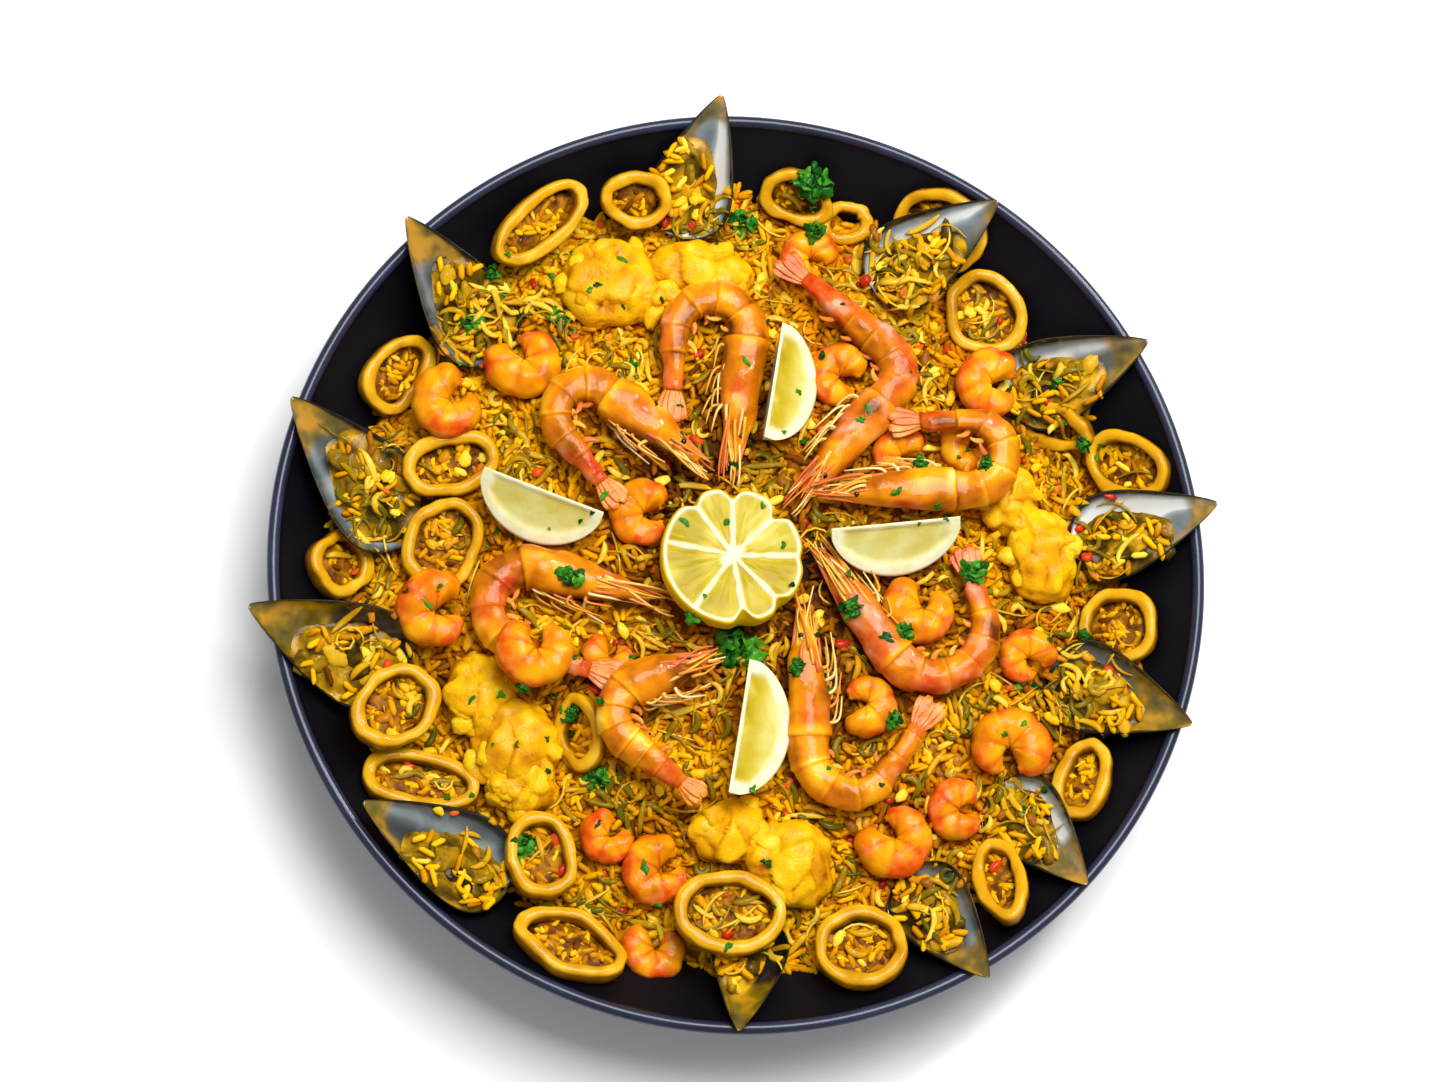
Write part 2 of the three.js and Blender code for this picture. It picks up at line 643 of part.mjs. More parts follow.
// The dome: rings of bumps on top, the pan's wall and floor below.
function heapGeometry() {
  THREE.MathUtils.seededRandom(SEED);
  const drift = (most) => (2 * THREE.MathUtils.seededRandom() - 1) * most;
  const points = [at(0, 0, HEAP_CROWN)];
  const index = [];
  for (let ring = 1; ring <= HEAP_RINGS; ring += 1) {
    const count = 6 * ring;
    const atEdge = ring === HEAP_RINGS;
    for (let i = 0; i < count; i += 1) {
      const angle = (i / count) * FULL_TURN;
      const radius = (ring / HEAP_RINGS) * HEAP_RADIUS;
      const x = radius * Math.cos(angle) + (atEdge ? 0 : drift(BUMP_DRIFT));
      const y = radius * Math.sin(angle) + (atEdge ? 0 : drift(BUMP_DRIFT));
      const bump = atEdge ? 0 : drift(BUMP_HEIGHT / 2);
      points.push(at(x, y, Math.min(heapHeight(x, y) + bump, bedHeight(x, y))));
    }
  }
  const first = (ring) => (ring === 0 ? 0 : 1 + 3 * ring * (ring - 1));
  for (let ring = 1; ring <= HEAP_RINGS; ring += 1) {
    for (let sector = 0; sector < 6; sector += 1) {
      for (let j = 0; j < ring; j += 1) {
        const outer = (k) => first(ring) + ((sector * ring + k) % (6 * ring));
        const inner = (k) => first(ring - 1) + ((sector * (ring - 1) + k) % (6 * (ring - 1) || 1));
        index.push(outer(j), outer(j + 1), inner(j));
        if (j < ring - 1) {
          index.push(inner(j), outer(j + 1), inner(j + 1));
        }
      }
    }
  }
  const edgeCount = 6 * HEAP_RINGS;
  const edge = first(HEAP_RINGS);
  const foot = points.length;
  const footHeight = PAN_THICKNESS + HEAP_GAP;
  for (let i = 0; i < edgeCount; i += 1) {
    const angle = (i / edgeCount) * FULL_TURN;
    const radius = wallRadius(footHeight) - 2 * HEAP_GAP;
    points.push(at(radius * Math.cos(angle), radius * Math.sin(angle), footHeight));
  }
  const middle = points.length;
  points.push(at(0, 0, footHeight));
  for (let i = 0; i < edgeCount; i += 1) {
    const j = (i + 1) % edgeCount;
    index.push(edge + i, foot + i, foot + j);
    index.push(edge + i, foot + j, edge + j);
    index.push(foot + i, middle, foot + j);
  }
  const geometry = new THREE.BufferGeometry().setFromPoints(points);
  geometry.setIndex(index);
  return geometry;
}

// The room in the pan for food, a gap away from its metal.
function hollowGeometry() {
  const [low, high] = [PAN_THICKNESS + HEAP_GAP, PAN_HEIGHT + PRAWN_LIFT];
  const profile = [new THREE.Vector2(0, low)];
  profile.push(new THREE.Vector2(wallRadius(low) - HEAP_GAP, low));
  profile.push(new THREE.Vector2(wallRadius(high) - HEAP_GAP, high));
  profile.push(new THREE.Vector2(0, high));
  return new THREE.LatheGeometry(profile, PAN_SEGMENTS).rotateX(Math.PI / 2);
}

function riceGeometry() {
  let rice = toSolid(heapGeometry());
  const sunk = [
    [shrimp, SUNK_SHRIMPS, SUNK_SHRIMP_LIFT],
    [squidRing, SUNK_RINGS, SUNK_RING_LIFT],
    [parsleyLeaf, PARSLEY, PARSLEY_LIFT],
  ];
  for (const [make, pieces, lift] of sunk) {
    for (const piece of pieces) {
      const mesh = lay(make, SAFFRON_RICE, piece, heapHeight(...piece.at) + lift);
      rice = rice.add(worldSolid(mesh.geometry, mesh));
    }
  }
  rice = rice.intersect(toSolid(hollowGeometry()));
  for (const bed of beds) {
    rice = rice.subtract(bed);
  }
  return largestBody(toGeometry(rice));
}

const rice = new THREE.Mesh(riceGeometry(), SAFFRON_RICE);
rice.name = 'rice';
group.add(rice);

export default group;
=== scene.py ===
"""A seafood paella in its pan: rice, fish, squid, shrimps, prawns, mussels and lemon."""

import itertools
import json
import math

import bpy
import numpy as np
from mathutils import Matrix, Vector
from mathutils.bvhtree import BVHTree

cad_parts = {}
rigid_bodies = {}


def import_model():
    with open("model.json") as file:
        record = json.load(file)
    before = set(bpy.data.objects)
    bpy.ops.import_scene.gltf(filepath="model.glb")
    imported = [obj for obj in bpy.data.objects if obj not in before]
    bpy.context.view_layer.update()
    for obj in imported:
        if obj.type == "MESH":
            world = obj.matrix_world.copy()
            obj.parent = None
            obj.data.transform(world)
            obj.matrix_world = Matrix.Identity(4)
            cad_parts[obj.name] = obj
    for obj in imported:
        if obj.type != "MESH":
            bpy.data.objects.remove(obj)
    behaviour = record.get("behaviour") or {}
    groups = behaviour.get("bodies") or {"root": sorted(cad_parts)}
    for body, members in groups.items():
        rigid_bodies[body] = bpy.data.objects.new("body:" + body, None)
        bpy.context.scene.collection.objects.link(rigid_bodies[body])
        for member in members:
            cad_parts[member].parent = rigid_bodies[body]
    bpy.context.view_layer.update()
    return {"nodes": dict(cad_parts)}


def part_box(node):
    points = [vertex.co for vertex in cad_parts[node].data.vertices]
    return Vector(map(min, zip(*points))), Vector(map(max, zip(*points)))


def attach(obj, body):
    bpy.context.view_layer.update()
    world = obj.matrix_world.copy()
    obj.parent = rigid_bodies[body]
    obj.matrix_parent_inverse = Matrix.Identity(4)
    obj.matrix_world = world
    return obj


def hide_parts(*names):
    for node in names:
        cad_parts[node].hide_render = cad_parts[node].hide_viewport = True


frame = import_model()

bl_info = {
    "name": "Seafood paella",
    "version": (1, 0, 0),
    "blender": (4, 5, 0),
    "location": "View3D > Sidebar > Paella",
    "description": "Lays a seafood paella in its pan, piece by piece",
    "category": "Object",
}

MM = 0.001  # sizes are in millimetres, and the scene is in metres

# ---------------------------------------------------------------- sizes

PAN_RADIUS = 199.9
PAN_HEIGHT = 61.0
PAN_THICKNESS = 2.6
FLOOR_RADIUS = 134.0
RIM_BEAD = 2.6
WALL_TOP = PAN_HEIGHT - RIM_BEAD
# How far the wall runs outwards for each millimetre that it rises.
WALL_RUN = (PAN_RADIUS - 2 * RIM_BEAD - FLOOR_RADIUS) / (WALL_TOP - PAN_THICKNESS)
INTO_WALL = 0.8  # how far food may reach into the wall's thickness, where it is hidden

HEAP_CROWN = 50.0
HEAP_EDGE = 36.0
HEAP_FALL = 2.6  # power of the fall from the crown to the edge
HEAP_RADIUS = FLOOR_RADIUS + (HEAP_EDGE - PAN_THICKNESS) * WALL_RUN - 1.2
HEAP_FRINGE = 8.0  # how far the edge of the loose grains strays from the heap's

# Layers of loose grains: height over the bed, and how many times the settings' pitch apart.
GRAIN_LAYERS = ((0.4, 1.13), (1.5, 1.3), (2.4, 2.1))
MOST_GRAINS = 4200  # grains in one piece
GRAIN_ROOM = 3.0  # a grain lies under a piece only where there is more room than this
PAINTED_SHADE_REACH = 5.0  # how far the painted shade darkens the rice round a piece
SAUCE_AND_SHADE_RADIUS = 75.0  # how far the rice is darker round the middle
SPARE_MIDDLE = 0.45  # share of the loose grains that the middle lacks

FLAKES = 20  # flakes of a lump of fish
FISH_BITS = 7  # bits broken off round a lump
FISH_SOLE = 0.4  # height of a lump of fish under its middle, as a share of that above

SQUID_WALL = 5.6
SQUID_HEIGHT = 9.0
SUNK_RING_LIFT = 3.0
RING_FILLING = -3.0  # height of the rice in a ring, from the middle of its wall

SHRIMP_CURL = 326.0  # degrees
SHRIMP_BODY = 0.24  # half thickness, as a share of the size
SHRIMP_RADIUS = 0.28  # radius of the curl, as a share of the size
SUNK_SHRIMP_LIFT = 4.0

SHELL_WIDTH = 0.6  # as a share of the length
SHELL_DEPTH = 0.16  # as a share of the length
SHELL_WALL = 1.3
MEAT_LEVEL = -1.5
MEAT_LOBES = 6
BARE_DROP = 0.09  # how much lower the stock lies on the bare side, as a share of the length
SHELL_GRAINS = 30  # grains of rice in one shell

LEMON_RADIUS = 30.5
LEMON_DEPTH = 24.0
LEMON_NOTCHES = {126: 3.5, 90: 5, 45: 6, 0: 1.5, -45: 4, -81: 6}  # degrees: depth
LEMON_NOTCH_WIDTH = 7.0
LEMON_MEMBRANES = [126, 90, 45, 2, -45, -81, -125, 170]
# The rind below the cut: share of the radius, depth, and share of the notches.
LEMON_RIND = (
    (1, 2.2, 0.95), (1, 5, 0.7), (0.985, 9, 0.4), (0.92, 14.5, 0.2), (0.8, 19, 0.1), (0.62, 22.5, 0),
    (0.4, LEMON_DEPTH, 0),
)
WEDGE_RADIUS = 25.0
WEDGE_ANGLE = 54.0
WEDGE_TIP = 3.5

# A prawn's half width and half height at shares of its length.
PRAWN_SHARES = [0, 0.1, 0.22, 0.36, 0.46, 0.7, 0.85, 0.92, 1]
PRAWN_WIDTHS = [1.2, 3.6, 8, 9.6, 9, 7.6, 5, 4.4, 3.4]
PRAWN_HEIGHTS = [1.2, 3.2, 6.4, 7.6, 7.4, 6.4, 4.4, 2.6, 1.4]
PLATE_EDGES = [0.42, 0.5, 0.58, 0.66, 0.74, 0.82, 0.9]  # rear edges of the shell's plates
EYE_RADIUS = 1.3
LEG_PAIRS = 5
FEELERS = 18
# The blades of the tail fan: degrees from the middle one, length, half width and rise.
FAN_BLADES = (
    (0, 0.9, 2.2, 1.2), (-9, 1, 3.1, 0.4), (9, 1, 3.1, 0.5), (-19, 0.94, 3, -0.6), (19, 0.94, 3, -0.4),
)

STREWN_RADIUS = 168.0  # how far from the middle the garnish is strewn
COVERED = 1.0  # what lies that much higher than the rice and the shells covers them
# Strips and bits: how many, and their least and greatest length and half width, or half sizes.
ONION_STRIPS = ((1950, (9, 20), 1.3), (1500, (14, 28), 0.55))
STRIP_FALL = 12.0  # a strip that would fall any further is left out
FISH_CRUMBS = (700, (3.3, 2.0, 1.0))
PEPPER_BITS = (130, (3.0, 2.0, 1.2))
SPRIG_TOP = 68.0  # no sprig lies any higher
FLECK_TOP = 74.0  # nor any fleck
RAY_START = 0.2  # metres: rays down on the dish start this high
FOOD = ("stewed_", "boiled_", "cooked_", "cut_", "squid_", "shrimps_")  # starts of their names

# ---------------------------------------------------------------- where the pieces lie
# at: place in plan. turn: degrees that the piece is turned. slope and toward: how far it
# leans, and the direction that it leans in.


def rows(keys, *values):
    """One dictionary for each row of values."""
    return [dict(zip(keys.split(), row)) for row in values]


# Each lump is its place in the fish, then its three half sizes.
FISH = rows(
    "at lumps",
    ((-38, 129), [(-19, -4, 22, 20, 12), (20, 3, 22, 13, 10), (-2, -10, 16, 10, 9)]),
    ((126, 16), [(-8, 14, 13, 16, 11), (6, -10, 15, 20, 12)]),
    ((-98, -76), [(-13, 18, 16, 17, 11), (3, -4, 20, 19, 13), (6, -22, 15, 12, 10)]),
    ((7, -122), [(-12, 6, 18, 14, 11), (13, -7, 18, 18, 12)]),
)

# bare: the side whose inside shows. pearl: how white that is. sauce: how far the stock has
# stained it from the hinge.
MUSSELS = rows(
    "at length turn slope toward bare pearl sauce",
    ((-10, 205), 66, -109, 24, -125, 1, 0.95, 0.2),
    ((-146, 144), 74, -49, 26, -15, -1, 0.42, 0.3),
    ((-192, 63), 80, -43, 24, -5, -1, 0.5, 0.3),
    ((-206, -28), 74, -22, 20, -50, 1, 0.1, 0.5),
    ((-157, -108), 72, -24, 24, 20, 1, 0.48, 0.2),
    ((-3, -199), 56, 80, 24, 80, -1, 0.1, 0.5),
    ((100, -177), 60, 127, 28, 160, -1, 0.45, 0.3),
    ((143, -138), 60, 130, 28, 165, -1, 0.8, 0.4),
    ((190, -70), 67, 158, 22, 190, -1, 0.4, 0.5),
    ((204, 26), 66, -165, 22, -160, -1, 1.0, 0.22),
    ((177, 99), 68, -157, 24, -130, -1, 0.75, 0.3),
    ((111, 159), 68, -147, 22, -138, -1, 0.75, 0.12),
)

SQUID_RINGS = rows(
    "at length width turn slope toward",
    ((89, 153), 45, 36, -35, 32, -120),
    ((169, 47), 41, 31, -35, 30, -165),
    ((-88, 149), 53, 26, 42, 25, -30),
    ((-47, 161), 33, 26, 0, 24, -74),
    ((26, 168), 34, 27, -25, 30, -100),
    ((110, 117), 42, 36, -45, 12, -130),
    ((-148, 81), 41, 28, 52, 24, -30),
    ((-124, 40), 43, 28, 15, 8, -60),
    ((-127, 6), 42, 36, 70, 5, -60),
    ((-170, -4), 31, 30, 80, 30, 0),
    ((-145, -66), 40, 35, 60, 12, 30),
    ((-134, -96), 51, 26, -8, 14, 60),
    ((-84, -127), 39, 32, -75, 12, 60),
    ((-71, -163), 49, 28, -22, 22, 70),
    ((-6, -150), 46, 37, 5, 8, 90),
    ((50, -164), 40, 37, 15, 18, 105),
    ((108, -136), 39, 25, 103, 26, 128),
    ((146, -91), 40, 26, 68, 26, 148),
    ((165, -24), 35, 34, 0, 24, 172),
)

SUNK_RINGS = rows(
    "at length width turn slope toward",
    ((48, 159), 25, 21, 20, 12, -106),
    ((140, 66), 36, 22, -20, 35, -150),
    ((-68, -74), 34, 22, 100, 28, 190),
)

SHRIMPS = rows(
    "at size turn",
    ((-94, 88), 35, 140),
    ((-125, 66), 34, 60),
    ((-129, -25), 35, 30),
    ((43, 83), 30, 0),
    ((110, 81), 33, 20),
    ((77, -19), 33, 95),
    ((114, -79), 36, -70),
    ((65, -117), 35, 150),
    ((-34, -132), 32, 45),
    ((-87, -43), 34, 110),
)

SUNK_SHRIMPS = rows(
    "at size turn",
    ((-42, 19), 31, 20),
    ((70, 48), 27, 10),
    ((100, 54), 26, 60),
    ((124, -39), 27, -30),
    ((53, -61), 28, 200),
    ((93, -105), 28, 30),
    ((-35, -164), 29, 100),
    ((31, 139), 28, -20),
    ((-55, -118), 25, 70),
    ((-56, -43), 24, 90),
)

LEMON_HALF = {"at": (-5.5, -2), "slope": 6, "toward": 60}

LEMON_WEDGES = rows(
    "at length turn slope toward gold",
    ((12, 76), 52, 81, 28, 171, 1.0),
    ((-85, 25), 54, -20, 26, 69, 0.45),
    ((64, 14), 56, 7, 26, 97, 0.3),
    ((-3, -74), 57, 81, 38, 171, 0.9),
)

# straight, radius, bend, tail: the body runs straight, turns round a bend, and runs on.
# pink: how much of the shell is pink.
PRAWNS = rows(
    "at turn straight radius bend tail pink",
    ((-5, 35), 84, 64, 15, 182, 38, 0.55),
    ((-14, 38), 144, 56, 13, 165, 36, 0.45),
    ((22, 24), 51, 68, 13, 88, 58, 0.85),
    ((30, 29), 3, 68, 15, 180, 30, 0.5),
    ((30, 8), -55, 58, 22, 160, 26, 0.85),
    ((26, -15), -88, 68, 17, 143, 36, 0.4),
    ((-32, -20), 166, 56, 16.5, 175, 44, 0.5),
    ((-11, -43), 200, 36, 14, 122, 36, 0.4),
)

# Sprigs of parsley: place in plan, and width.
SPRIGS = [
    (32, 172, 19), (2, 156, 15), (-1, -38, 22), (-92, -122, 15), (-60, -94, 14), (99, -4, 15),
    (-20, -26, 14), (-73, -11, 12), (-117, 103, 13), (-79, 108, 11), (33, 150, 11), (68, -32, 11),
    (45, -22, 11), (103, 0, 9), (76, 42, 9), (104, 42, 9), (-92, -58, 9), (-72, -66, 10),
    (140, 84, 8), (150, 56, 9), (-108, 126, 8), (64, -68, 10), (22, -48, 9), (150, -28, 8),
]

PEPPERS = [(-139, -89), (-90, 126), (128, -10), (116, -52), (-120, -110), (35, 60), (140, 38)]


def shade(hexes):
    """An sRGB hex colour as linear red, green, blue and alpha."""
    channels = [int(hexes[i : i + 2], 16) / 255 for i in (0, 2, 4)]
    linear = [c / 12.92 if c <= 0.04045 else ((c + 0.055) / 1.055) ** 2.4 for c in channels]
    return (*linear, 1.0)


# ---------------------------------------------------------------- settings


class PaellaSettings(bpy.types.PropertyGroup):
    """Sizes, amounts and colours that change how the dish is served."""

    grain_length: bpy.props.FloatProperty(
        name="Grain length", description="Length of a boiled grain of rice",
        default=8.4 * MM, min=4.0 * MM, max=12.0 * MM, subtype="DISTANCE", unit="LENGTH",
    )
    grain_width: bpy.props.FloatProperty(
        name="Grain width", description="Thickness of a boiled grain of rice",
        default=2.7 * MM, min=1.5 * MM, max=4.0 * MM, subtype="DISTANCE", unit="LENGTH",
    )
    grain_pitch: bpy.props.FloatProperty(
        name="Grain pitch", description="Distance between loose grains, which each layer widens",
        default=3.8 * MM, min=2.4 * MM, max=8.0 * MM, subtype="DISTANCE", unit="LENGTH",
    )
    parsley_flecks: bpy.props.IntProperty(
        name="Parsley flecks", description="Number of chopped bits of parsley",
        default=150, min=0, max=1000,
    )
    rice_colour: bpy.props.FloatVectorProperty(
        name="Rice", description="Colour of the saffron rice",
        default=shade("e4a004"), size=4, min=0, max=1, subtype="COLOR",
    )
    parsley_colour: bpy.props.FloatVectorProperty(
        name="Parsley", description="Colour of the parsley leaves",
        default=shade("1c6414"), size=4, min=0, max=1, subtype="COLOR",
    )
    rim_colour: bpy.props.FloatVectorProperty(
        name="Rim", description="Colour of the lacquer on the pan's rim",
        default=shade("2c3048"), size=4, min=0, max=1, subtype="COLOR",
    )
    board_colour: bpy.props.FloatVectorProperty(
        name="Board", description="Colour of the board under the pan",
        default=shade("fcfcfc"), size=4, min=0, max=1, subtype="COLOR",
    )
    key_power: bpy.props.FloatProperty(
        name="Key light", description="Power of the wide soft light over the dish",
        default=27.0, min=0.0, subtype="POWER", unit="POWER",
    )


# ---------------------------------------------------------------- shapes


class Form:
    """Points in millimetres, blocks of faces with the number of their finish, and two values
    at each point that the materials read: tone and zone."""

    def __init__(self, points, blocks, tone, zone):
        self.points = np.asarray(points, float).reshape(-1, 3)
        self.blocks = blocks
        self.tone = np.zeros(len(self.points)) + np.ravel(tone)
        self.zone = np.zeros(len(self.points)) + np.ravel(zone)

    def moved(self, shift, turn=None):
        """The same form, turned by a matrix and then shifted."""
        points = self.points if turn is None else self.points @ np.asarray(turn).T
        return Form(points + np.asarray(shift, float), self.blocks, self.tone, self.zone)

    def outward(self):
        """The same form with its faces pointing out, whichever way they were wound."""
        volume = 0.0
        for faces, _ in self.blocks:
            corners = self.points[faces]
            for k in range(1, faces.shape[1] - 1):
                normals = np.cross(corners[:, k], corners[:, k + 1])
                volume += np.einsum("ij,ij->", corners[:, 0], normals)
        if volume < 0:
            self.blocks = [(faces[:, ::-1], finish) for faces, finish in self.blocks]
        return self


def unit(vectors):
    """The vectors at length one."""
    return vectors / np.maximum(np.linalg.norm(vectors, axis=-1, keepdims=True), 1e-9)


def circle(count):
    """That many angles, evenly round a circle."""
    return np.linspace(0, 2 * np.pi, count, endpoint=False)


def points_at(x, y, z=0.0):
    """Points out of their coordinates, each of them a number or an array."""
    return np.stack(np.broadcast_arrays(x, y, z), -1)


def polar(radius, angle, height=0.0):
    """Points at a distance from the upright axis, an angle round it and a height."""
    return points_at(radius * np.cos(angle), radius * np.sin(angle), height)


def flatter(values, power):
    """The values with their sizes raised to a power and their signs kept."""
    return np.sign(values) * np.abs(values) ** power


def spin(draw, most=2 * math.pi):
    """A matrix that turns a piece about its upright, by a random angle."""
    return Matrix.Rotation(draw.uniform(0, most), 3, "Z")


def noise(points, size, seed):
    """Smooth random values from -1 to 1 that change over a distance of size."""
    place = np.asarray(points, float) / size
    low = np.floor(place)
    share = place - low
    share = share * share * (3 - 2 * share)
    total = np.zeros(place.shape[:-1])
    for corner in itertools.product((0, 1), repeat=3):
        weight = np.prod(np.where(corner, share, 1 - share), axis=-1)
        mixed = np.sin((low + corner) @ (127.1, 311.7, 74.7) + seed * 53.3) * 43758.5453
        total += weight * (mixed - np.floor(mixed))
    return 2 * total - 1


def step(values, start, end):
    """0 before start and 1 after end, with a smooth step between."""
    share = np.clip((values - start) / (end - start), 0, 1)
    return share * share * (3 - 2 * share)


def quads(count, across, round_rows=False, round_columns=True):
    """Faces between the rows and columns of a grid of points."""
    i, j = np.meshgrid(
        np.arange(count if round_rows else count - 1),
        np.arange(across if round_columns else across - 1),
        indexing="ij",
    )
    below, beside = (i + 1) % count, (j + 1) % across
    corners = [i * across + j, i * across + beside, below * across + beside, below * across + j]
    return np.stack(corners, -1).reshape(-1, 4)


def by_finish(faces, finish):
    """Blocks of the faces, each with its finish: one number, or one for each face."""
    finish = np.broadcast_to(finish, len(faces))
    return [(faces[finish == number], int(number)) for number in np.unique(finish)]


def loft(loops, ring=False, tone=0.5, zone=0.0, finish=0):
    """A closed form through rows of loops: a ring of them, or a rod with closed ends.

    finish is one number, or one for each column of the loops.
    """
    loops = np.asarray(loops, float)
    count, across = loops.shape[:2]
    points = loops.reshape(-1, 3)
    tone = np.broadcast_to(tone, (count, across)).ravel()
    zone = np.broadcast_to(zone, (count, across)).ravel()
    finish = np.broadcast_to(finish, across)
    faces = quads(count, across, ring)
    blocks = by_finish(faces, np.tile(finish, count if ring else count - 1))
    if not ring:
        around = np.arange(across)
        middles = len(points) + np.arange(2)
        for middle, end in zip(middles, (0, count - 1)):
            rim = end * across + around
            fan = np.stack([np.full(across, middle), np.roll(rim, -1), rim], -1)
            blocks.append((fan if end == 0 else fan[:, ::-1], int(finish[0])))
        points = np.vstack([points, loops[0].mean(0), loops[-1].mean(0)])
        tone = np.append(tone, [tone[:across].mean(), tone[-across:].mean()])
        zone = np.append(zone, [zone[:across].mean(), zone[-across:].mean()])
    return Form(points, blocks, tone, zone).outward()


def slab(upper, lower, tone, zone, finishes):
    """A closed form between two grids of points whose borders are joined."""
    count, across = upper.shape[:2]
    total = count * across
    number = np.arange(total).reshape(count, across)
    border = np.concatenate([number[0, :-1], number[:-1, -1], number[-1, :0:-1], number[:0:-1, 0]])
    after = np.roll(border, -1)
    faces = quads(count, across, round_columns=False)
    edge = np.stack([border, border + total, after + total, after], -1)
    blocks = [(faces, finishes[0]), (faces[:, ::-1] + total, finishes[1]), (edge, finishes[1])]
    points = np.concatenate([upper.reshape(-1, 3), lower.reshape(-1, 3)])
    tone = np.tile(np.broadcast_to(tone, (count, across)).ravel(), 2)
    zone = np.tile(np.broadcast_to(zone, (count, across)).ravel(), 2)
    return Form(points, blocks, tone, zone).outward()


def tube(points, radii, sides, tone=0.5, finish=0, flat=1.0):
    """A rod along a row of points. flat is its thickness as a share of its width."""
    points = np.asarray(points, float)
    forward = unit(np.gradient(points, axis=0))
    across = unit(np.cross(forward, (0.02, 0.01, 1.0)))
    up = np.cross(across, forward)
    angle = circle(sides)[None, :, None]
    radii = np.broadcast_to(radii, len(points))[:, None, None]
    ring = across[:, None] * np.cos(angle) + flat * up[:, None] * np.sin(angle)
    return loft(points[:, None] + radii * ring, tone=tone, finish=finish)


def bezier(start, leave, arrive, end, count):
    """Points on a smooth curve from start to end that is pulled to leave and arrive."""
    t = np.linspace(0, 1, count)[:, None]
    weights = ((1 - t) ** 3, 3 * t * (1 - t) ** 2, 3 * t * t * (1 - t), t**3)
    corners = (start, leave, arrive, end)
    return sum(weight * np.asarray(corner, float) for weight, corner in zip(weights, corners))


def ball_points(rows, across):
    """A grid of points on a ball of radius one, without its poles."""
    rise = np.linspace(-np.pi / 2, np.pi / 2, rows + 2)[1:-1, None]
    return polar(np.cos(rise), circle(across), np.sin(rise))


def blob(sizes, seed, detail, rough, grain=6.0, tone=0.5, finish=0):
    """A closed lump with three half sizes, its surface rough by a share of them.

    detail is its rows of points, and the points in each.
    """
    points = ball_points(*detail) * np.asarray(sizes, float)
    coarse, fine = noise(points, grain, seed), noise(points, grain / 2.3, seed + 7)
    swell = 1 + rough * coarse + 0.5 * rough * fine
    return loft(points * swell[..., None], tone=tone, finish=finish)


def leaning(piece):
    """The matrix that turns a piece and then leans it, as the frame's pieces are laid."""
    toward = math.radians(piece.get("toward", 0))
    hinge = Vector((-math.sin(toward), math.cos(toward), 0))
    lean = Matrix.Rotation(math.radians(piece.get("slope", 0)), 3, hinge)
    return np.array(lean @ Matrix.Rotation(math.radians(piece.get("turn", 0)), 3, "Z"))


def heap_height(x, y):
    """Height of the rice at a place in plan."""
    share = np.minimum(np.hypot(x, y) / HEAP_RADIUS, 1)
    return HEAP_CROWN - (HEAP_CROWN - HEAP_EDGE) * share**HEAP_FALL


def origin_height(node, form, turn):
    """Height of a piece's origin where its body is level with the node."""
    low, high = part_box(node)
    tall = (form.points @ turn.T)[:, 2]
    return (low.z + high.z) / 2 / MM - (tall.min() + tall.max()) / 2


def as_tall(form, node):
    """A form that lies flat, made as tall as its node."""
    low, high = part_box(node)
    form.points[:, 2] *= (high.z - low.z) / MM / np.ptp(form.points[:, 2])
    return form


def laid(forms, piece, node=None, height=0.0):
    """The forms in their place: the first one level with a node, or at a height."""
    turn = leaning(piece)
    if node:
        height = origin_height(node, forms[0], turn)
    return [form.moved((*piece["at"], height), turn) for form in forms]


def numbered(kind, pieces):
    """The pieces of a kind, each with its number and the name of its node."""
    return [(number, piece, f"{kind}_{number:02}") for number, piece in enumerate(pieces, 1)]


def make(name, forms, finishes, slot, *nodes):
    """One object out of forms, riding on the root body and standing for nodes of the frame."""
    corners, starts, kinds = [], [], []
    first = corner = 0
    for form in forms:
        for faces, finish in form.blocks:
            corners.append((faces + first).ravel())
            starts.append(corner + np.arange(len(faces)) * faces.shape[1])
            kinds.append(np.full(len(faces), finish))
            corner += faces.size
        first += len(form.points)
    mesh = bpy.data.meshes.new(name)
    mesh.vertices.add(first)
    mesh.loops.add(corner)
    mesh.polygons.add(sum(map(len, starts)))
    points = np.concatenate([form.points for form in forms]) * MM
    mesh.vertices.foreach_set("co", points.astype(np.float32).ravel())
    mesh.loops.foreach_set("vertex_index", np.concatenate(corners).astype(np.int32))
    mesh.polygons.foreach_set("loop_start", np.concatenate(starts).astype(np.int32))
    for finish in finishes:
        mesh.materials.append(finish)
    mesh.polygons.foreach_set("material_index", np.concatenate(kinds).astype(np.int32))
    mesh.polygons.foreach_set("use_smooth", np.ones(len(mesh.polygons), bool))
    mesh.update(calc_edges=True)
    for label in ("tone", "zone"):
        values = np.concatenate([getattr(form, label) for form in forms])
        layer = mesh.attributes.new(label, "FLOAT", "POINT")
        layer.data.foreach_set("value", values.astype(np.float32))
    mesh.validate()
    made = bpy.data.objects.new(name, mesh)
    bpy.context.scene.collection.objects.link(made)
    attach(made, "root")
    if nodes:
        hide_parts(*nodes)


def named(*starts):
    """The pieces made so far whose names begin in one of these ways."""
    made = [piece for piece in bpy.data.objects if piece.name not in frame["nodes"]]
    return [piece for piece in made if piece.name.startswith(starts)]


def shared(finish, *settings):
    """The material that a function makes, made only once."""
    return bpy.data.materials.get(finish.__name__) or finish(*settings)


